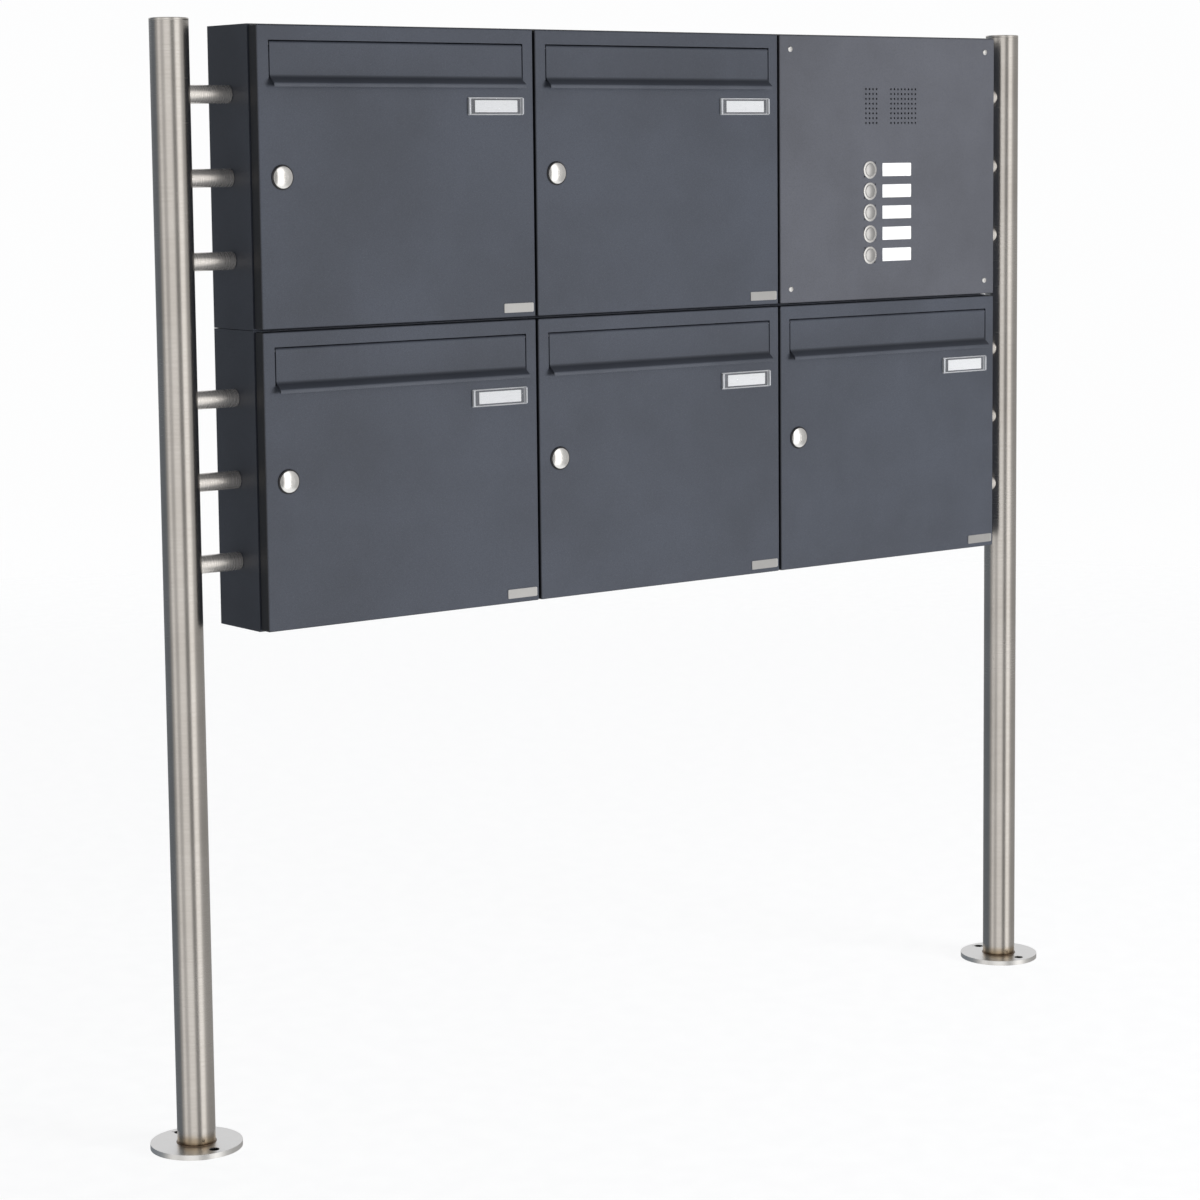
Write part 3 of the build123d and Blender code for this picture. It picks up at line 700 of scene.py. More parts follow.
def slot_plate():
    left, right = mouth.left - PLATE_SIDE, mouth.right + PLATE_SIDE
    slot_left, slot_right = flap.left + STOP_WIDTH, flap.right - STOP_WIDTH
    slot_bottom = flap.top + FLAP_FLAT - STOP_LAP
    knuckle_end = flap.top + KNUCKLE + EAR_HALF
    across = (mouth.left, slot_left, slot_right, mouth.right)
    down = (mouth.top, knuckle_end, slot_bottom)
    bm = flat_sheet(left, right, PLATE_TOP, mouth.bottom + PLATE_FOOT, across, down)
    take_away(bm, mouth.left, mouth.right, mouth.top, knuckle_end)
    take_away(bm, slot_left, slot_right, knuckle_end, slot_bottom)
    bmesh.ops.translate(bm, vec=(0, SHEET, 0), verts=bm.verts)
    return stamp(bm, "slot_plate")


def rod_ears():
    """Two upright ears, each a small sheet across the front with a hole for the rod."""
    bm = bmesh.new()
    depth = KNUCKLE + EAR_HALF - SHEET
    half_way = SHEET * 2 + depth / 2
    for x in (mouth.left - EAR / 2, mouth.right + EAR / 2):
        made = bmesh.ops.create_cube(bm, size=1.0)["verts"]
        size = Matrix.Diagonal((EAR * 0.98, depth, 2 * EAR_HALF, 1))
        centre = Matrix.Translation((x, half_way - 0.01, -flap.top - KNUCKLE))
        bmesh.ops.transform(bm, matrix=centre @ size, verts=made)
        ends = {edge for vert in made for edge in vert.link_edges}
        rear = {edge for edge in ends if all(vert.co.y > half_way for vert in edge.verts)}
        ends = [edge for edge in rear if abs(edge.verts[0].co.x - edge.verts[1].co.x) > EAR / 2]
        round_edges(bm, ends, EAR_ROUND, 4)
    return stamp(bm, "rod_ears")


plate_mesh, ears_mesh = slot_plate(), rod_ears()
for number in LETTERBOXES:
    place = front_place(corners[number])
    body = f"door_{number}"
    piece(plate_mesh, f"slot_plate_{number}", body, anthracite, place, SHEET, 0.15)
    piece(ears_mesh, f"rod_ears_{number}", body, anthracite, place, 0, 0.2)
print("slot plate", len(plate_mesh.polygons), "faces")

# %% [markdown]
# The posting flap is one strip of 1.2 mm sheet. Its top is rolled round the rod, its lower part bends
# outwards into the lip that a finger lifts, and the lip ends in a short hem. A spin about the rod makes the
# roll from the strip's upper edge, and extruding that edge downwards makes the rest; bevels round the bends.

# %% Posting flaps
FLAP_SHEET = 1.2
LIP_DROP = 7.0
ROLL_TURN = math.radians(285)
INNER_BEND = 2.6
OUTER_BEND = 1.3
# Painted shade in the flap's bend: its weight, and how far it fades in above the lip and out at its edge.
BEND_SHADE = 0.64
BEND_SHADE_ABOVE = 3.0
BEND_SHADE_END = 1.5


def edge_below(bm, edge, back, drop):
    """Extrudes an edge to a new place behind and below it, and returns the new edge."""
    start, end = draw_out(bm, [edge], (0, back, -drop))
    return next(made for made in start.link_edges if made.other_vert(start) == end)


def posting_flap():
    bm = bmesh.new()
    top = -(flap.top + KNUCKLE)
    ends = [bm.verts.new((x, 0, top)) for x in (flap.left, flap.right)]
    start = bm.edges.new(ends)
    bmesh.ops.spin(
        bm,
        geom=ends + [start],
        cent=(0, KNUCKLE, top),
        axis=(1, 0, 0),
        angle=-ROLL_TURN,
        steps=16,
        dvec=(0, 0, 0),
    )
    flat_end = edge_below(bm, start, 0, FLAP_FLAT - KNUCKLE)
    lip_end = edge_below(bm, flat_end, flap.front, LIP_DROP)
    hem = flap.bottom - flap.top - FLAP_FLAT - LIP_DROP
    edge_below(bm, lip_end, 0, hem)
    bmesh.ops.recalc_face_normals(bm, faces=bm.faces)
    round_edges(bm, [flat_end], INNER_BEND, 6)
    lip_drop = flap.bottom - hem
    lip_edges = []
    for edge in bm.edges:
        spots = [vert.co for vert in edge.verts]
        if all(abs(spot.y - flap.front) < NEAR and abs(spot.z + lip_drop) < NEAR for spot in spots):
            lip_edges.append(edge)
    round_edges(bm, lip_edges, OUTER_BEND, 4)
    face_front(bm)
    return stamp(bm, "posting_flap")


def shade_in_the_bend(spot):
    """Painted shade in the concave bend: from just above the lip to just above its edge."""
    drop = -spot.z - flap.top - FLAP_FLAT
    begin = min(1.0, max(0.0, (drop + BEND_SHADE_ABOVE) / BEND_SHADE_ABOVE))
    end = min(1.0, max(0.0, (LIP_DROP - drop) / BEND_SHADE_END))
    return BEND_SHADE * begin * end


def on_the_lip(spot):
    """Wear by fingers, growing down the lip."""
    share = (-spot.z - flap.top - FLAP_FLAT) / LIP_DROP
    return min(1.0, max(0.0, share - 0.4))


flap_mesh = posting_flap()
mark(flap_mesh, "sheltered", shade_in_the_bend)
mark(flap_mesh, "handled", on_the_lip)
for number in LETTERBOXES:
    place = front_place(corners[number])
    body, name = f"flap_{number}", f"posting_flap_{number}"
    piece(flap_mesh, name, body, anthracite, place, FLAP_SHEET, 0.2, [body])
print("flap", len(flap_mesh.polygons), "faces, lip reaches", round(-flap.front, 1), "mm")

# %% [markdown]
# Locks, buttons, caps, posts and welds are turned parts, and the lathe of Blender is spin: a profile of a
# few points goes once round the axis. The profile is given as distances along the axis and radii. A keyway
# or a hexagon socket is a recess that is sunk into the middle of the turned face afterwards.


# %% Turn profiles
def turned(profile, segments=48, closed=False):
    """Shell turned about the local Y axis from (along, radius) points."""
    bm = bmesh.new()
    verts = [bm.verts.new((radius, along, 0)) for along, radius in profile]
    edges = [bm.edges.new(pair) for pair in zip(verts, verts[1:])]
    if closed:
        edges.append(bm.edges.new((verts[-1], verts[0])))
    bmesh.ops.spin(
        bm,
        geom=verts + edges,
        cent=(0, 0, 0),
        axis=(0, 1, 0),
        angle=math.tau,
        steps=segments,
        use_merge=True,
        dvec=(0, 0, 0),
    )
    bmesh.ops.remove_doubles(bm, verts=bm.verts, dist=1e-4)
    bmesh.ops.recalc_face_normals(bm, faces=bm.faces)
    return bm


def sink_recess(bm, outline, depth):
    """Bridges the open ring of a turned face to an outline, and sinks a flat-floored recess from it."""
    ring = [edge for edge in bm.edges if edge.is_boundary]
    bmesh.ops.bridge_loops(bm, edges=ring + outline)
    floor_verts = draw_out(bm, outline, (0, depth, 0))
    floor_edges = [edge for edge in bm.edges if all(vert in floor_verts for vert in edge.verts)]
    bmesh.ops.contextual_create(bm, geom=floor_edges)
    bmesh.ops.recalc_face_normals(bm, faces=bm.faces)


def dome_depth(radius, rim_radius, rim, apex):
    """Depth of a ball-shaped dome at a radius; rim and apex are depths."""
    rise = rim - apex
    ball = (rim_radius**2 + rise**2) / (2 * rise)
    return apex + ball - math.sqrt(ball**2 - radius**2)


def dome_points(outer, inner, rim_radius, rim, apex, count):
    """Profile of the dome from an outer to an inner radius."""
    radii = [outer + (inner - outer) * step / (count - 1) for step in range(count)]
    return [(dome_depth(radius, rim_radius, rim, apex), radius) for radius in radii]


# %% [markdown]
# The cam lock shows a black collar and a bright dome. In the dome's middle is the upright keyway, closed by
# a small sprung shutter that keeps rain out, so it reads as a bright groove and not as a black slot. A
# circle with its halves moved apart gives the groove's outline, which is bridged to the turned dome.

# %% Lock collars and domes
cylinder = area("lock_cylinder_1", first)
DOME_RADIUS = 12.0
DOME_RIM = -2.1
COLLAR_RADIUS = lock.right - lock_x
BARREL = 9.4
KEYWAY_HALF = 1.1
KEYWAY_REACH = 3.4
SHUTTER_DEPTH = 0.7
INNER_RING = 5.6
CORE_RADIUS = 8.0
CAM_GAP = 1.2


def lock_collar():
    profile = [
        (-1.5, DOME_RADIUS + 0.15),
        (-1.5, COLLAR_RADIUS - 0.7),
        (-0.9, COLLAR_RADIUS),
        (0, COLLAR_RADIUS),
        (0, BARREL),
        (-0.5, BARREL - 0.6),
        (-0.5, DOME_RADIUS + 0.15),
    ]
    return stamp(turned(profile, 64, closed=True), "lock_collar")


def lock_dome():
    apex = cylinder.front
    profile = dome_points(DOME_RADIUS, INNER_RING, DOME_RADIUS, DOME_RIM, apex, 7)[::-1]
    core_end = lock.rear + CAM_GAP
    profile += [(-0.6, DOME_RADIUS), (-0.6, CORE_RADIUS), (core_end, CORE_RADIUS), (core_end, 0)]
    bm = turned(profile, 48)
    groove = bmesh.ops.create_circle(bm, segments=48, radius=KEYWAY_HALF, matrix=FRONT)["verts"]
    for vert in groove:
        if abs(vert.co.z) > 1e-5:
            vert.co.z += math.copysign(KEYWAY_REACH, vert.co.z)
    for vert in groove:
        vert.co.y = dome_depth(math.hypot(vert.co.x, vert.co.z), DOME_RADIUS, DOME_RIM, apex)
    sink_recess(bm, list({edge for vert in groove for edge in vert.link_edges}), SHUTTER_DEPTH)
    return stamp(bm, "lock_dome")


def lock_place(number):
    return front_place(corners[number] + Vector((lock_x, 0, -lock_drop)) * MM)


collar_mesh, dome_mesh = lock_collar(), lock_dome()
for number in LETTERBOXES:
    place = lock_place(number)
    owner, turning = f"door_{number}", f"lock_{number}"
    piece(collar_mesh, f"lock_collar_{number}", owner, black_metal, place, 0, 0.15)
    nodes = [f"lock_cylinder_{number}"]
    piece(dome_mesh, f"lock_dome_{number}", turning, nickel, place, 0, 0.12, nodes)
print("lock dome", len(dome_mesh.polygons), "faces")

# %% [markdown]
# Behind the door the lock has a threaded barrel, a hexagon nut, and the cam that grips behind the casing's
# flange. The thread is a turned zigzag, which is enough at this size, and the nut is a six-sided ring: a
# hexagon's divided sides are bridged to a circle, and the face between them is thickened.

# %% Lock barrels, nuts and cams
NUT_RADIUS = 12.5
NUT_THICKNESS = 3.0
THREAD_PITCH = 1.0
THREAD_DEPTH = 0.45
BARREL_BORE = 8.2
CAM_HALF = 7.0
CAM_THICKNESS = 2.8
CAM_ROUND = 5.0


def lock_barrel():
    start, end = SHEET + NUT_THICKNESS, lock.rear
    profile = [(-0.4, BARREL_BORE), (-0.4, BARREL - 0.1), (start, BARREL - 0.1)]
    along = start
    while along + THREAD_PITCH < end:
        profile += [(along + THREAD_PITCH / 2, BARREL - THREAD_DEPTH), (along + THREAD_PITCH, BARREL)]
        along += THREAD_PITCH
    profile += [(end, BARREL - THREAD_DEPTH), (end, BARREL_BORE)]
    return stamp(turned(profile, 40, closed=True), "lock_barrel")


def ring_nut(radius, bore, thickness):
    """Hexagon ring with its front at depth 0."""
    bm = bmesh.new()
    outer = bmesh.ops.create_circle(bm, segments=6, radius=radius, matrix=FRONT)["verts"]
    bmesh.ops.subdivide_edges(bm, edges=list({edge for vert in outer for edge in vert.link_edges}), cuts=3)
    bmesh.ops.create_circle(bm, segments=24, radius=bore, matrix=FRONT)
    bmesh.ops.bridge_loops(bm, edges=list(bm.edges))
    thicken(bm, (0, thickness, 0))
    bmesh.ops.recalc_face_normals(bm, faces=bm.faces)
    return bm


def lock_cam():
    """Flat lever from the lock's axis down to its rounded end."""
    cam = area("lock_cam_1", first)
    bm = flat_sheet(-CAM_HALF, CAM_HALF, -CAM_HALF, cam.bottom - lock_drop, (), (0,))
    bmesh.ops.translate(bm, vec=(0, lock.rear + CAM_GAP, 0), verts=bm.verts)
    thicken(bm, (0, CAM_THICKNESS, 0))
    through = [edge for edge in bm.edges if abs(edge.verts[0].co.y - edge.verts[1].co.y) > 1]
    corner_edges = [edge for edge in through if abs(edge.verts[0].co.z) > 1]
    round_edges(bm, corner_edges, CAM_ROUND, 5)
    bmesh.ops.recalc_face_normals(bm, faces=bm.faces)
    return stamp(bm, "lock_cam")


def cam_screw():
    """Domed head with a round drive recess."""
    head = lock.rear + CAM_GAP + CAM_THICKNESS
    outline = [(0, 0), (0, 4.5), (1.6, 4.4), (2.4, 3.2), (2.5, 1.8), (1.3, 1.5), (1.3, 0)]
    return stamp(turned([(head + along, radius) for along, radius in outline], 32), "cam_screw")


barrel_mesh = lock_barrel()
nut = ring_nut(NUT_RADIUS, BARREL, NUT_THICKNESS)
bmesh.ops.translate(nut, vec=(0, SHEET, 0), verts=nut.verts)
nut_mesh = stamp(nut, "lock_nut")
cam_mesh, screw_mesh = lock_cam(), cam_screw()
for number in LETTERBOXES:
    place = lock_place(number)
    owner, turning = f"door_{number}", f"lock_{number}"
    housing, cam_node = [f"lock_housing_{number}"], [f"lock_cam_{number}"]
    piece(barrel_mesh, f"lock_barrel_{number}", owner, black_metal, place, 0, 0.08, housing)
    piece(nut_mesh, f"lock_nut_{number}", owner, zinc, place, 0, 0.3)
    piece(cam_mesh, f"lock_cam_lever_{number}", turning, zinc, place, 0, 0.3, cam_node)
    piece(screw_mesh, f"cam_screw_{number}", turning, zinc, place, 0, 0.15)
print("lock barrel", len(barrel_mesh.polygons), "faces, cam", len(cam_mesh.polygons))

# %% [markdown]
# A name plate sits at the upper right of each door: a clear cover with thicker, lighter ends over a dark
# backing and a white card. The card stays blank. The cover is a box with a wide chamfer, open at the rear;
# the rim is an inset frame, and the ends are small bars inside the cover.

# %% Name plates
plate = area("name_plate_1", first)
CARD_WIDTH = 59.0
CARD_HEIGHT = 13.5
PLATE_CORNER = 1.2
COVER_CHAMFER = 1.1
RIM_BORDER = 0.7
RIM_SINK = 0.8
END_LEFT_WIDTH = 2.6
END_RIGHT_WIDTH = 1.7
END_INSET = 0.5
END_MARGIN = 0.9
BACKING_LAP_ACROSS = 9.0
BACKING_LAP_DOWN = 3.6


def block(box, corner, segments=4):
    """Box whose four edges towards the rear are rounded."""
    bm = bmesh.new()
    bmesh.ops.create_cube(bm, size=1.0)
    size = Matrix.Diagonal((box.right - box.left, box.rear - box.front, box.bottom - box.top, 1))
    across, down = middle(box)
    centre = Matrix.Translation((across, (box.front + box.rear) / 2, -down))
    bmesh.ops.transform(bm, matrix=centre @ size, verts=bm.verts)
    depth_edges = [edge for edge in bm.edges if abs(edge.verts[0].co.y - edge.verts[1].co.y) > 1e-4]
    round_edges(bm, depth_edges, corner, segments)
    bmesh.ops.recalc_face_normals(bm, faces=bm.faces)
    return bm


def blocks(boxes, corner, segments, name):
    """One mesh of several boxes with rounded edges."""
    bm = bmesh.new()
    for box in boxes:
        mesh = stamp(block(box, corner, segments), name)
        bm.from_mesh(mesh)
        bpy.data.meshes.remove(mesh)
    return stamp(bm, name)


def sink_front(bm, border, depth):
    """Insets the front face by a border and moves its middle to the rear."""
    faces = [face for face in bm.faces if face.normal.y < -0.99]
    bmesh.ops.inset_region(bm, faces=faces, thickness=border, use_even_offset=True)
    verts = list({vert for face in faces for vert in face.verts})
    bmesh.ops.translate(bm, vec=(0, depth, 0), verts=verts)


def name_cover():
    bm = block(plate, PLATE_CORNER, 3)
    front = [edge for edge in bm.edges if all(abs(vert.co.y - plate.front) < 1e-4 for vert in edge.verts)]
    round_edges(bm, front, COVER_CHAMFER, 2)
    rear = [face for face in bm.faces if face.normal.y > 0.99]
    bmesh.ops.delete(bm, geom=rear, context="FACES")
    return stamp(bm, "name_cover")


def name_rim():
    bm = block(plate._replace(front=-1.0, rear=0), PLATE_CORNER, 3)
    sink_front(bm, RIM_BORDER, RIM_SINK)
    return stamp(bm, "name_rim")


def name_ends():
    inside = Area(
        plate.left + END_INSET,
        plate.right - END_INSET,
        plate.top + END_MARGIN,
        plate.bottom - END_MARGIN,
        -2.9,
        -0.3,
    )
    left_bar = inside._replace(right=inside.left + END_LEFT_WIDTH)
    right_bar = inside._replace(left=inside.right - END_RIGHT_WIDTH)
    return blocks([left_bar, right_bar], 0.6, 3, "name_ends")


def centred(width, height, front, rear):
    across, down = middle(plate)
    return Area(across - width / 2, across + width / 2, down - height / 2, down + height / 2, front, rear)


cover_mesh, rim_mesh, ends_mesh = name_cover(), name_rim(), name_ends()
backing = centred(CARD_WIDTH + BACKING_LAP_ACROSS, CARD_HEIGHT + BACKING_LAP_DOWN, -1.2, -0.2)
backing_mesh = stamp(block(backing, 0.8), "name_backing")
card_mesh = stamp(block(centred(CARD_WIDTH, CARD_HEIGHT, -1.9, -1.2), 0.5), "name_card")
for number in LETTERBOXES:
    place = front_place(corners[number])
    body, node = f"door_{number}", [f"name_plate_{number}"]
    piece(cover_mesh, f"name_cover_{number}", body, cover_plastic, place, 0, 0.15, node)
    # Painted highlight: the pale rim round the clear cover.
    piece(rim_mesh, f"name_rim_{number}", body, frosted_and_edge_highlight_plastic, place, 0, 0.12)
    piece(ends_mesh, f"name_ends_{number}", body, frosted_and_edge_highlight_plastic, place, 0, 0.2)
    piece(backing_mesh, f"name_backing_{number}", body, dark_backing, place, 0, 0.1)
    piece(card_mesh, f"name_card_{number}", body, card, place, 0, 0.05)
print("name plate", round(plate.right - plate.left, 1), "by", round(plate.bottom - plate.top, 1), "mm")

# %% [markdown]
# Low at the right of each door is a small satin metal tab, left blank. It is a thin plate with rounded
# corners and a raised border, made by an inset.

# %% Blank tabs
TAB_WIDTH = 41.6
TAB_HEIGHT = 10.6
TAB_FROM_RIGHT = 3.6
TAB_FROM_BOTTOM = 5.5
TAB_THICKNESS = 0.7
TAB_CORNER = 1.4
TAB_BORDER = 0.7
TAB_SINK = 0.2
tab_right, tab_bottom = door.right - TAB_FROM_RIGHT, door.bottom - TAB_FROM_BOTTOM
tab = Area(tab_right - TAB_WIDTH, tab_right, tab_bottom - TAB_HEIGHT, tab_bottom, -TAB_THICKNESS, 0.05)


def blank_tab():
    bm = block(tab, TAB_CORNER)
    sink_front(bm, TAB_BORDER, TAB_SINK)
    return stamp(bm, "blank_tab")


tab_mesh = blank_tab()
for number in LETTERBOXES:
    place, body = front_place(corners[number]), f"door_{number}"
    piece(tab_mesh, f"blank_tab_{number}", body, cap_steel, place, 0, 0.08)
print("tab", round(tab.right - tab.left, 1), "by", round(tab.bottom - tab.top, 1), "mm")

# %% [markdown]
# The bell panel is a tray like a door's, without a flap. It has two groups of speech holes, five round
# holes for the pushes, five windows for names and a screw near each corner. The lines of all the cells are
# cut first and the holes are opened one after another.

# %% Bell panel
bell = corner_of("bell_panel")
panel = area("bell_panel", bell)
pushes = [area(f"button_{number}", bell) for number in range(1, 6)]
windows = area("bell_name_windows", bell)
screws = area("panel_screws", bell)
speaker = area("speaker_module", bell)
SPEECH_MARGIN = 12.0
SPEECH_PITCH = 6.0
SPEECH_RADIUS = 1.25
SPEECH_CELL = 1.9
PUSH_HOLE = 9.65
PUSH_CELL = 11.0
WINDOW_LAP = 2.0
WINDOW_HALF = 8.25
SCREW_HEAD = 3.7
SCREW_HOLE = 2.3
SCREW_CELL = 3.4


def speech_holes():
    """Centres of the two groups of speech holes."""
    top = speaker.top + SPEECH_MARGIN
    right = speaker.right - SPEECH_MARGIN
    left = speaker.left + SPEECH_MARGIN
    drops = [top + SPEECH_PITCH * row for row in range(8)]
    near = [left + SPEECH_PITCH * column for column in range(4)]
    far = [right - SPEECH_PITCH * column for column in range(8)]
    return near + far, drops


speech_x, speech_drops = speech_holes()
screw_x = (screws.left + SCREW_HEAD, screws.right - SCREW_HEAD)
screw_drops = (screws.top + SCREW_HEAD, screws.bottom - SCREW_HEAD)
window_left, window_right = windows.left + WINDOW_LAP, windows.right - WINDOW_LAP


def around(values, reach):
    return [value + side for value in values for side in (-reach, reach)]


def in_band(bm, top, bottom, left=0.0, right=1000.0):
    """Faces whose middles lie between two drops and two distances across."""
    found = []
    for face in bm.faces:
        centre = face.calc_center_median()
        if top < -centre.z < bottom and left < centre.x < right:
            found.append(face)
    return found


def open_holes(bm, across, down, radius, cell, segments):
    """Cuts a row or a field of cells within their own band, and opens a round hole in each."""
    top, bottom = min(down) - cell, max(down) + cell
    for x in around(across, cell):
        cut(bm, (x, 0, 0), (1, 0, 0), in_band(bm, top, bottom))
    for drop in around(down, cell)[1:-1]:
        cut(bm, (0, 0, -drop), (0, 0, 1), in_band(bm, top, bottom))
    for x in across:
        for drop in down:
            round_hole(bm, (x, 0, -drop), radius, cell, FRONT, segments)


def bell_front():
    push_x = middle(pushes[0])[0]
    push_drops = [middle(push)[1] for push in pushes]
    bands = [(drop, drop, SCREW_CELL) for drop in screw_drops]
    bands += [(min(speech_drops), max(speech_drops), SPEECH_CELL)]
    bands += [(drop, drop, PUSH_CELL) for drop in push_drops]
    down = [edge for top, bottom, cell in bands for edge in (top - cell, bottom + cell)]
    bm = flat_sheet(0, panel.right, 0, panel.bottom, (), sorted(down))
    for drop in push_drops:
        top, bottom = drop - PUSH_CELL, drop + PUSH_CELL
        for x in (window_left, window_right):
            cut(bm, (x, 0, 0), (1, 0, 0), in_band(bm, top, bottom))
        for side in (-WINDOW_HALF, WINDOW_HALF):
            beside = in_band(bm, top, bottom, window_left, window_right)
            cut(bm, (0, 0, side - drop), (0, 0, 1), beside)
        take_away(bm, window_left, window_right, drop - WINDOW_HALF, drop + WINDOW_HALF)
        open_holes(bm, [push_x], [drop], PUSH_HOLE, PUSH_CELL, 32)
    for drop in screw_drops:
        open_holes(bm, screw_x, [drop], SCREW_HOLE, SCREW_CELL, 16)
    open_holes(bm, speech_x, speech_drops, SPEECH_RADIUS, SPEECH_CELL, 16)
    return bm, push_x, push_drops


bell_bm, push_x, push_drops = bell_front()
fold_tray(bell_bm, panel.right, panel.bottom, panel.rear)
bell_mesh = stamp(bell_bm, "bell_front")
mark(bell_mesh, "sheltered", shade_in_folds)
bell_place = front_place(bell)
piece(bell_mesh, "bell_front", "root", bell_coat, bell_place, SHEET, 0, ["bell_panel"])
print("bell panel", len(bell_mesh.polygons), "faces,", len(speech_x) * len(speech_drops), "speech holes")

# %% [markdown]
# Each bell push is a satin stainless ring with a slightly domed cap in it, and the cap moves 1.5 mm. The
# windows are milky acrylic, a hair behind the panel's face so that a thin dark line runs round them. Small
# round-head screws with a hexagon socket hold the panel.

# %% Pushes, windows and screws
COLLAR_HEIGHT = 1.2
PUSH_COLLAR = 11.0
PUSH_BARREL = 9.5
PUSH_BORE = 8.9
PUSH_LENGTH = 20.0
PUSH_SHOULDER = 3.0
CAP_RADIUS = 8.0
CAP_RIM = -1.5
CAP_FLANGE = 8.6
CAP_FLANGE_START = 3.2
CAP_FLANGE_END = 4.8
SCREW_RISE = 1.45
SOCKET_RADIUS = 1.6
SOCKET_DEPTH = 1.1
WINDOW_GAP = 0.35
WINDOW_BACK_LAP = 2.2


def push_ring():
    profile = [
        (-COLLAR_HEIGHT, CAP_RADIUS + 0.1),
        (-COLLAR_HEIGHT, PUSH_COLLAR - 0.8),
        (-0.7, PUSH_COLLAR),
        (0, PUSH_COLLAR),
        (0, PUSH_BARREL),
        (PUSH_LENGTH, PUSH_BARREL),
        (PUSH_LENGTH, PUSH_BORE),
        (PUSH_SHOULDER, PUSH_BORE),
        (PUSH_SHOULDER, CAP_RADIUS + 0.1),
    ]
    return stamp(turned(profile, 56, closed=True), "push_ring")


def push_cap():
    profile = dome_points(CAP_RADIUS - 0.35, 0, CAP_RADIUS, CAP_RIM, pushes[0].front, 7)[::-1]
    profile += [
        (CAP_RIM + 0.4, CAP_RADIUS),
        (CAP_FLANGE_START, CAP_RADIUS),
        (CAP_FLANGE_START, CAP_FLANGE),
        (CAP_FLANGE_END, CAP_FLANGE),
        (CAP_FLANGE_END, 0),
    ]
    return stamp(turned(profile, 56), "push_cap")


def socket_screw():
    """Low round head with a hexagon socket."""
    profile = [(-1.35, 2.3), (-1.15, 3.0), (-0.6, 3.55), (0, SCREW_HEAD), (0, 2.0), (6.0, 2.0), (6.0, 0)]
    bm = turned(profile, 24)
    place = Matrix.Translation((0, -SCREW_RISE, 0)) @ FRONT
    socket = bmesh.ops.create_circle(bm, segments=6, radius=SOCKET_RADIUS, matrix=place)["verts"]
    sink_recess(bm, list({edge for vert in socket for edge in vert.link_edges}), SOCKET_DEPTH)
    return stamp(bm, "socket_screw")


def name_windows():
    parts = []
    left, right = window_left + WINDOW_GAP, window_right - WINDOW_GAP
    half = WINDOW_HALF - WINDOW_GAP
    back_half = half + WINDOW_BACK_LAP
    for drop in push_drops:
        parts.append(Area(left, right, drop - half, drop + half, WINDOW_GAP, SHEET))
        parts.append(windows._replace(top=drop - back_half, bottom=drop + back_half, front=SHEET))
    return blocks(parts, 0.5, 3, "name_windows")


def joined(mesh, places, name):
    """One mesh of several copies of a mesh."""
    bm = bmesh.new()
    for place in places:
        copy = mesh.copy()
        copy.transform(place)
        bm.from_mesh(copy)
        bpy.data.meshes.remove(copy)
    return stamp(bm, name)


ring_mesh, cap_mesh = push_ring(), push_cap()
push_places = [Matrix.Translation((push_x, 0, -drop)) for drop in push_drops]
rings = joined(ring_mesh, push_places, "push_rings")
piece(rings, "push_rings", "root", ring_steel, bell_place, 0, 0.12, ["button_housings"])
for number, push_place in enumerate(push_places, start=1):
    body, place = f"button_{number}", bell_place @ push_place
    piece(cap_mesh, f"push_cap_{number}", body, cap_steel, place, 0, 0.12, [body])
screw_places = [Matrix.Translation((x, 0, -drop)) for x in screw_x for drop in screw_drops]
heads = joined(socket_screw(), screw_places, "panel_screw_heads")
piece(heads, "panel_screw_heads", "root", ring_steel, bell_place, 0, 0.1, ["panel_screws"])
window_mesh = name_windows()
# The windows' glow is painted light.
piece(window_mesh, "name_windows", "root", acrylic, bell_place, 0, 0.12, ["bell_name_windows"])
print("pushes at", [round(drop, 1) for drop in push_drops], "mm below the panel's top")

# %% [markdown]
# The posts are round tubes with a flat cap, and a round plate welded to the foot. The plate starts as one
# round face; cuts give a cell round each anchor hole, and extruding gives its thickness. The weld is a
# narrow bead whose surface ripples, as one laid by hand in short steps does.

# %% Posts, caps, foot plates and welds
UP = Matrix.Rotation(math.radians(90), 4, "X")
WALL = 2.0
CAP = 3.0
PLUG_LENGTH = 10.0
FOOT = 6.0
ANCHOR_CIRCLE = 38.0
ANCHOR_HOLE = 5.75
ANCHOR_CELL = 7.2
BORE_FLOOR = 0.8
BEAD = 1.5
RIPPLES = 64
RIPPLE_DEPTH = 0.441
SCALE = Matrix.Scale(MM, 4)


def post_tube(radius, height):
    profile = [(height * step / 8, radius) for step in range(9)]
    profile += [(height, radius - WALL), (0, radius - WALL)]
    return stamp(turned(profile, 96, closed=True), "post_tube")


def post_cap(radius):
    plug = radius - WALL - 0.1
    profile = [(-PLUG_LENGTH, 0), (-PLUG_LENGTH, plug), (0, plug)]
    profile += [(0, radius - 0.1), (0.15, radius), (CAP - 0.9, radius)]
    profile += [(CAP - 0.35, radius - 0.25), (CAP - 0.05, radius - 0.9), (CAP, radius - 1.6), (CAP, 0)]
    return stamp(turned(profile, 96), "post_cap")


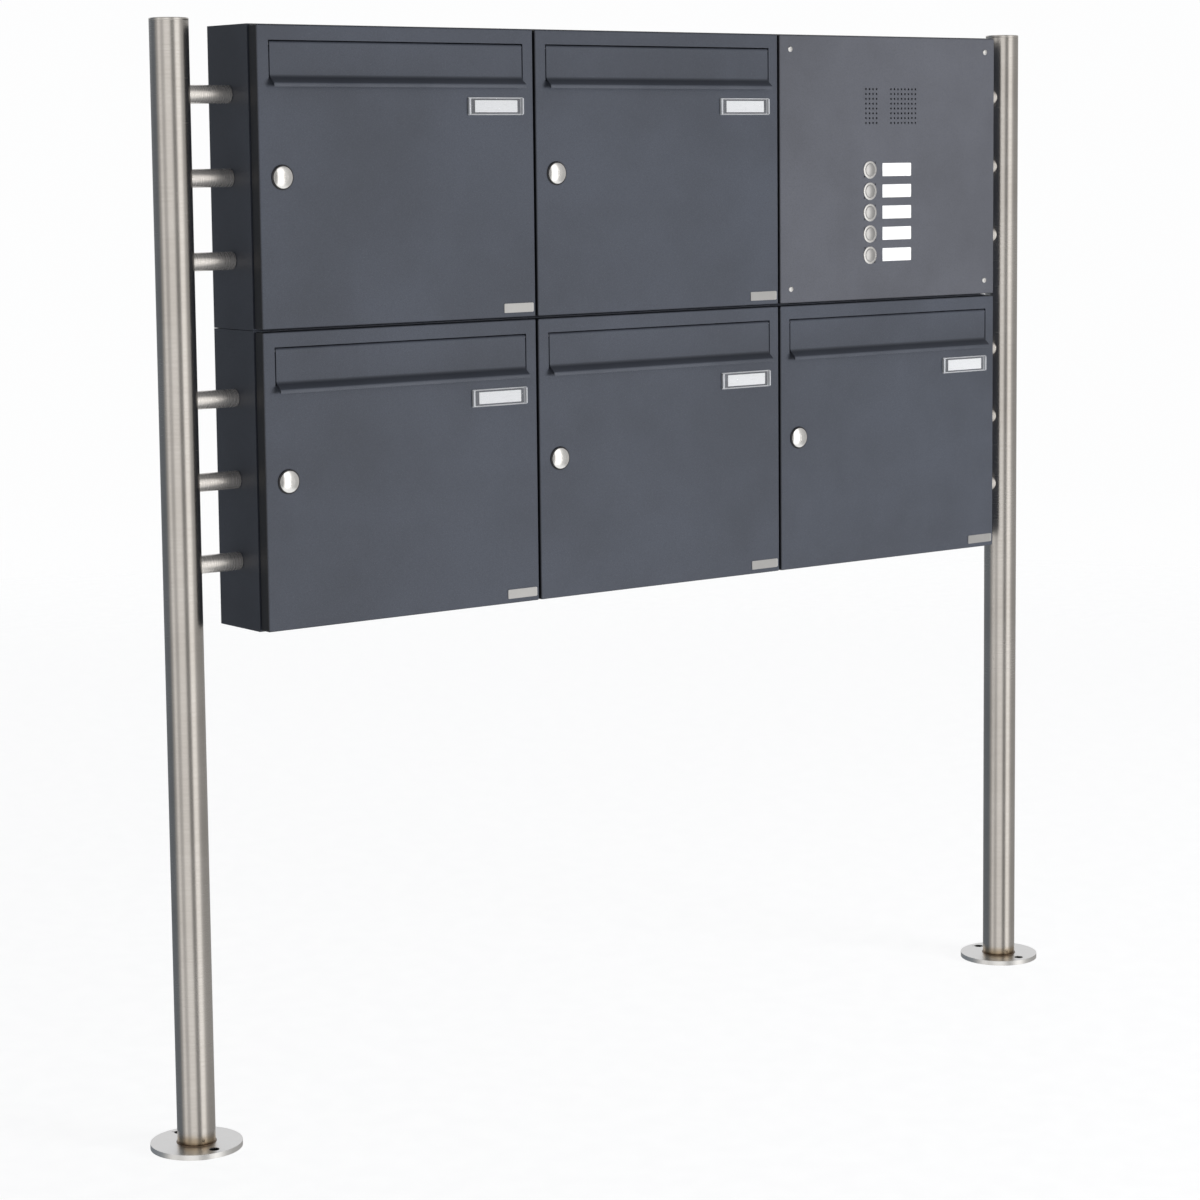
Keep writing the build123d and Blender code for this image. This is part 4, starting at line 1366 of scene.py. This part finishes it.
def foot_plate(radius):
    bm = bmesh.new()
    bmesh.ops.create_circle(bm, cap_ends=True, segments=128, radius=radius)
    for way in (-1, 1):
        for side in (-ANCHOR_CELL, ANCHOR_CELL):
            cut(bm, (0, way * ANCHOR_CIRCLE + side, 0), (0, 1, 0))
    for side in (-ANCHOR_CELL, ANCHOR_CELL):
        cut(bm, (side, 0, 0), (1, 0, 0))
    for way in (-1, 1):
        round_hole(bm, (0, way * ANCHOR_CIRCLE, 0), ANCHOR_HOLE, ANCHOR_CELL, TOP, 32)
    thicken(bm, (0, 0, FOOT))
    bmesh.ops.recalc_face_normals(bm, faces=bm.faces)
    return stamp(bm, "foot_plate")


# Painted shade: black cups line the anchor holes so that they look dark inside.
def anchor_hole_shade():
    """Dark turned cup on the wall and bottom of an anchor hole: painted shade inside the hole."""
    outer = ANCHOR_HOLE - 0.02
    profile = [(0.1, 0), (0.1, outer), (FOOT - 0.9, outer), (FOOT - 1.0, outer - 0.3)]
    profile += [(BORE_FLOOR, outer - 0.4), (BORE_FLOOR, 0)]
    return stamp(turned(profile, 32), "anchor_hole_shade")


def weld_bead(radius):
    points = [(math.cos(step * math.pi / 12), math.sin(step * math.pi / 12)) for step in range(7)]
    profile = [(BEAD * 0.85 * rise, radius - 0.3 + BEAD * out) for out, rise in points]
    profile += [(BEAD * 0.85, radius - 0.6), (0, radius - 0.6)]
    bm = turned(profile, RIPPLES * 3, closed=True)
    for vert in bm.verts:
        out = math.hypot(vert.co.x, vert.co.z) - radius
        if out > 0.1:
            turn = math.atan2(vert.co.z, vert.co.x)
            swell = 1 - RIPPLE_DEPTH / radius * (0.5 + 0.5 * math.cos(turn * RIPPLES)) * out / BEAD
            vert.co.x *= swell
            vert.co.z *= swell
    return stamp(bm, "weld_bead")


def underside(node):
    """Middle of a post's or plate's underside."""
    low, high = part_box(node)
    return Vector(((low.x + high.x) / 2, (low.y + high.y) / 2, low.z))


post_low, post_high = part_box("left_post")
post_radius = (post_high.x - post_low.x) / 2 / MM
foot_low, foot_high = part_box("left_foot_plate")
foot_radius = (foot_high.x - foot_low.x) / 2 / MM
tube_mesh, end_mesh = post_tube(post_radius, (post_high.z - post_low.z) / MM), post_cap(post_radius)
foot_mesh, bead_mesh = foot_plate(foot_radius), weld_bead(post_radius)
hole_shades = [Matrix.Translation((0, way * ANCHOR_CIRCLE, 0)) @ UP for way in (-1, 1)]
hole_shade_mesh = joined(anchor_hole_shade(), hole_shades, "anchor_hole_shades")
for side in ("left", "right"):
    post_node, foot_node = f"{side}_post", f"{side}_foot_plate"
    base = underside(post_node)
    top = Vector((base.x, base.y, post_high.z))
    upright = Matrix.Translation(base) @ UP @ SCALE
    on_top = Matrix.Translation(top) @ UP @ SCALE
    flat = Matrix.Translation(underside(foot_node)) @ SCALE
    piece(tube_mesh, f"{side}_tube", "root", post_steel, upright, 0, 0.2, [post_node])
    piece(end_mesh, f"{side}_cap", "root", plate_steel, on_top, 0, 0, ["post_caps"])
    piece(foot_mesh, f"{side}_foot", "root", foot_steel, flat, 0, 0.7, [foot_node])
    # Painted shade inside the anchor holes.
    piece(hole_shade_mesh, f"{side}_bores", "root", black_metal, flat, 0, 0)
    piece(bead_mesh, f"{side}_weld", "root", post_steel, upright, 0, 0)
print("posts", round(post_radius * 2, 1), "mm across, foot plates", round(foot_radius * 2, 1), "mm across")

# %% [markdown]
# Six round struts on each side hold the block to its post. Each is a turned rod whose outer end runs into
# the tube and is welded there, and whose inner end stands flat on the casing, with a narrow chamfer.

# %% Struts
STRUT_DROPS = (75.0, 165.0, 255.0)
STRUT_RADIUS = 10.0
INTO_POST = 3.0
SEAM_HALF = 0.0003


def strut_rod(length):
    profile = [(0, 0), (0, STRUT_RADIUS - 0.6), (0.6, STRUT_RADIUS), (length, STRUT_RADIUS), (length, 0)]
    return stamp(turned(profile, 48), "strut_rod")


def strut_places(wall, sense):
    """Places of one side's struts: at a casing's wall, pointing away from the block."""
    turn = Matrix.Rotation(math.radians(-90 * sense), 4, "Z")
    tops = [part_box(node)[1].z for node in ("casing_1", "casing_3")]
    centre_y = underside("left_post").y
    spots = [Vector((wall, centre_y, top + SEAM_HALF - drop * MM)) for top in tops for drop in STRUT_DROPS]
    return [Matrix.Translation(spot) @ turn @ SCALE for spot in spots]


left_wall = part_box("casing_1")[0].x
right_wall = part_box("casing_5")[1].x
gap = (left_wall - post_high.x) / MM
rod_mesh = strut_rod(gap + INTO_POST)
places = strut_places(left_wall, -1) + strut_places(right_wall, 1)
rods = joined(rod_mesh, places, "struts")
piece(rods, "strut_rods", "root", lit_strut_steel, Matrix.Identity(4), 0, 0, ["struts"])
print("struts", len(places), "of", round(gap, 1), "mm")

# %% [markdown]
# The casings, pins, rods and bolts have the right shape in the CAD model already. A copy of such a mesh is
# merged, its flat triangles are dissolved into whole faces, and the same narrow bevel is put on its edges.

# %% Copies of CAD shapes
def cad_copy(node):
    bm = bmesh.new()
    bm.from_mesh(frame["nodes"][node].data)
    bmesh.ops.remove_doubles(bm, verts=bm.verts, dist=1e-6)
    bmesh.ops.dissolve_limit(
        bm, angle_limit=math.radians(0.5), verts=bm.verts, edges=bm.edges, use_dissolve_boundaries=False
    )
    return stamp(bm, node)


copies = []
for number in LETTERBOXES:
    copies.append((f"casing_{number}", f"casing_box_{number}", "root", "powder_coat", anthracite, 0.4))
    copies.append((f"flap_rod_{number}", f"rod_{number}", f"door_{number}", "zinc_steel", zinc, 0.2))
copies += [
    ("bell_casing", "bell_casing_box", "root", "powder_coat", anthracite, 0.4),
    ("door_hinge_pins", "hinge_pins", "root", "zinc_steel", zinc, 0.25),
    ("strut_bolts", "strut_bolt_heads", "root", "zinc_steel", zinc, 0.25),
    ("joining_bolts", "joining_bolt_heads", "root", "zinc_steel", zinc, 0.25),
    ("speaker_module", "speaker_box", "root", "black_plastic", black_plastic, 0.6),
]
for node, name, body, slot, finish, edge in copies:
    piece(cad_copy(node), name, body, finish, Matrix.Identity(4), 0, edge, [node])
print("copied", len(copies), "casings and fasteners")

# %% [markdown]
# The unit stands on a plain pale floor that fades into the background. The floor glows a little, so that it
# stays pale under a modest light and keeps a soft contact shadow. Its edge fades out through Alpha.

# %% Floor
FLOOR_GLOW = 0.90
FLOOR_RADIUS = 7.0
FADE_START = 2.6
FADE_END = 6.5


def pale_floor():
    pale = Finish("pale_floor")
    here = pale.here()
    away = pale.node("VectorMath", {"operation": "LENGTH"}, {0: here}).out("Value")
    grain = pale.noise(here, 30.0, 3.0, 0.5)
    tone = pale.mix(grain.between(0.3, 0.7), (0.975, 0.977, 0.98, 1), (0.995, 0.996, 0.998, 1))
    inputs = {
        "Base Color": pale.mix(0.75, tone, (0.0, 0.0, 0.0, 1)),
        "Roughness": 0.75 + (grain - 0.5) * 0.1,
        "Specular IOR Level": 0.2,
        "Emission Color": tone,
        "Emission Strength": FLOOR_GLOW,
        "Alpha": 1 - away.between(FADE_START, FADE_END),
    }
    return pale.shade(inputs)


floor_bm = bmesh.new()
bmesh.ops.create_circle(floor_bm, cap_ends=True, segments=64, radius=FLOOR_RADIUS)
floor_data = stamp(floor_bm, "floor")
floor_data.materials.append(pale_floor())
floor = bpy.data.objects.new("floor", floor_data)
floor.visible_glossy = False
floor.visible_diffuse = False
bpy.context.scene.collection.objects.link(floor)
print("floor", len(floor_data.polygons), "face")

# %% [markdown]
# Polished posts show what stands round them, so the world is a ring of soft panels: a narrow bright one to
# the left, a broad one to the front left and the brightest just right of the front, with darker gaps between
# them, a bright horizon behind and a dim ceiling. The camera itself sees only a plain pale background. A
# panel's stop is its share of the way round, starting behind and passing the left side first.

# %% World
HORIZON = (0.95, 0.95, 0.96, 1)
CEILING = (0.12, 0.125, 0.135, 1)
GROUND = (0.85, 0.85, 0.84, 1)
FILL_BELOW = (0.50, 0.525, 0.56, 1)
FILL_ABOVE = (0.10, 0.105, 0.115, 1)
BACKGROUND = (0.985, 0.986, 0.988, 1)


def studio_world():
    world = bpy.data.worlds.new("studio")
    bpy.context.scene.world = world
    world.use_nodes = True
    ring = Finish("studio", world.node_tree)
    here = ring.node("TexCoord").out("Object")
    parts = ring.node("SeparateXYZ", None, {0: here})
    across, ahead, rise = parts.out("X"), parts.out("Y"), parts.out("Z")
    azimuth = ring.node("Math", {"operation": "ARCTAN2"}, {0: across, 1: 0 - ahead})
    share = azimuth * (1 / math.tau) + 0.5
    panels = ring.node("ValToRGB", {"stops": PANELS}, {0: share})
    behind = ahead.between(0.05, 0.45) * rise.between(0.02, 0.16) * across.between(-0.5, -0.1)
    lit = ring.mix(behind, panels, HORIZON)
    dimmed = ring.mix(rise.between(0.40, 0.80), lit, CEILING)
    grounded = ring.mix(rise.between(-0.35, -0.60), dimmed, GROUND)
    low_fill = ring.mix(rise.between(0.05, 0.55), FILL_BELOW, FILL_ABOVE)
    path = ring.node("LightPath")
    reflections = ring.node("Background", None, {"Color": grounded, "Strength": 1.0})
    fill = ring.node("Background", None, {"Color": low_fill, "Strength": 1.0})
    pale = ring.node("Background", None, {"Color": BACKGROUND, "Strength": 1.0})
    around = ring.node("MixShader", None, {0: path.out("Is Diffuse Ray"), 1: reflections, 2: fill})
    chosen = ring.node("MixShader", None, {0: path.out("Is Camera Ray"), 1: around, 2: pale})
    ring.node("OutputWorld", None, {"Surface": chosen})


def warm(level):
    return (level * 1.02, level, level * 0.975)


def cool(level):
    return (level * 0.90, level, level * 1.12)


PANELS = [
    (0.000, cool(0.22)),
    (0.165, cool(0.20)),
    (0.185, warm(0.42)),
    (0.212, warm(0.48)),
    (0.234, warm(1.05)),
    (0.264, warm(1.05)),
    (0.282, warm(0.62)),
    (0.322, warm(0.66)),
    (0.340, warm(1.12)),
    (0.425, warm(1.12)),
    (0.452, warm(0.30)),
    (0.498, warm(0.30)),
    (0.516, warm(1.42)),
    (0.574, warm(1.42)),
    (0.612, warm(0.58)),
    (0.664, warm(0.44)),
    (0.900, warm(0.38)),
    (1.000, cool(0.22)),
]
studio_world()
print("world panels", len(PANELS))

# %% [markdown]
# One large soft light stands low at the front right and gives the fronts their level while the left sides
# stay dark. It lights only matt surfaces, because the posts' reflections belong to the world's panels.

# %% Soft light
KEY_SPOT = Vector((2.1, -4.2, 0.6))
KEY_TARGET = Vector((0.0, 0.0, 0.8))
KEY_WIDTH = 2.4
KEY_HEIGHT = 1.6
KEY_POWER = 238.0
key_data = bpy.data.lights.new("key", "AREA")
key_data.shape = "RECTANGLE"
key_data.size, key_data.size_y = KEY_WIDTH, KEY_HEIGHT
key_data.energy = KEY_POWER
key = bpy.data.objects.new("key", key_data)
key.location = KEY_SPOT
key.rotation_euler = (KEY_TARGET - KEY_SPOT).to_track_quat("-Z", "Y").to_euler()
key.visible_glossy = False
bpy.context.scene.collection.objects.link(key)
print("lights", [light.name for light in bpy.data.lights])

# %% [markdown]
# The camera stands well to the left and looks slightly down, from a little over three metres with a long
# lens, so that verticals stay nearly parallel. A small downward shift does the rest, as on a view camera.

# %% Camera
LENS = 91.35
SHIFT = -0.1
YAW, PITCH, ROLL = 0.6580, -0.1071, -0.0103
STAND = Vector((-1.7192, -2.8184, -0.1419))
casing_low, casing_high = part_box("casing_1")
block_corner = Vector((casing_low.x - SEAM_HALF, first.y, casing_high.z + SEAM_HALF))
forward = Vector((math.sin(YAW) * math.cos(PITCH), math.cos(YAW) * math.cos(PITCH), math.sin(PITCH)))
level = Vector((math.cos(YAW), -math.sin(YAW), 0))
upward = level.cross(forward)
right = level * math.cos(ROLL) + upward * math.sin(ROLL)
above = upward * math.cos(ROLL) - level * math.sin(ROLL)
camera_data = bpy.data.cameras.new("camera")
camera_data.lens = LENS
camera_data.sensor_width = 36
camera_data.shift_y = SHIFT
camera_data.clip_end = 100
camera = bpy.data.objects.new("camera", camera_data)
turn = Matrix((right, above, -forward)).transposed().to_4x4()
camera.matrix_world = Matrix.Translation(block_corner + STAND) @ turn
bpy.context.scene.collection.objects.link(camera)
bpy.context.scene.camera = camera
bpy.context.scene.view_settings.view_transform = "Standard"
print("camera at", [round(value, 3) for value in camera.location])
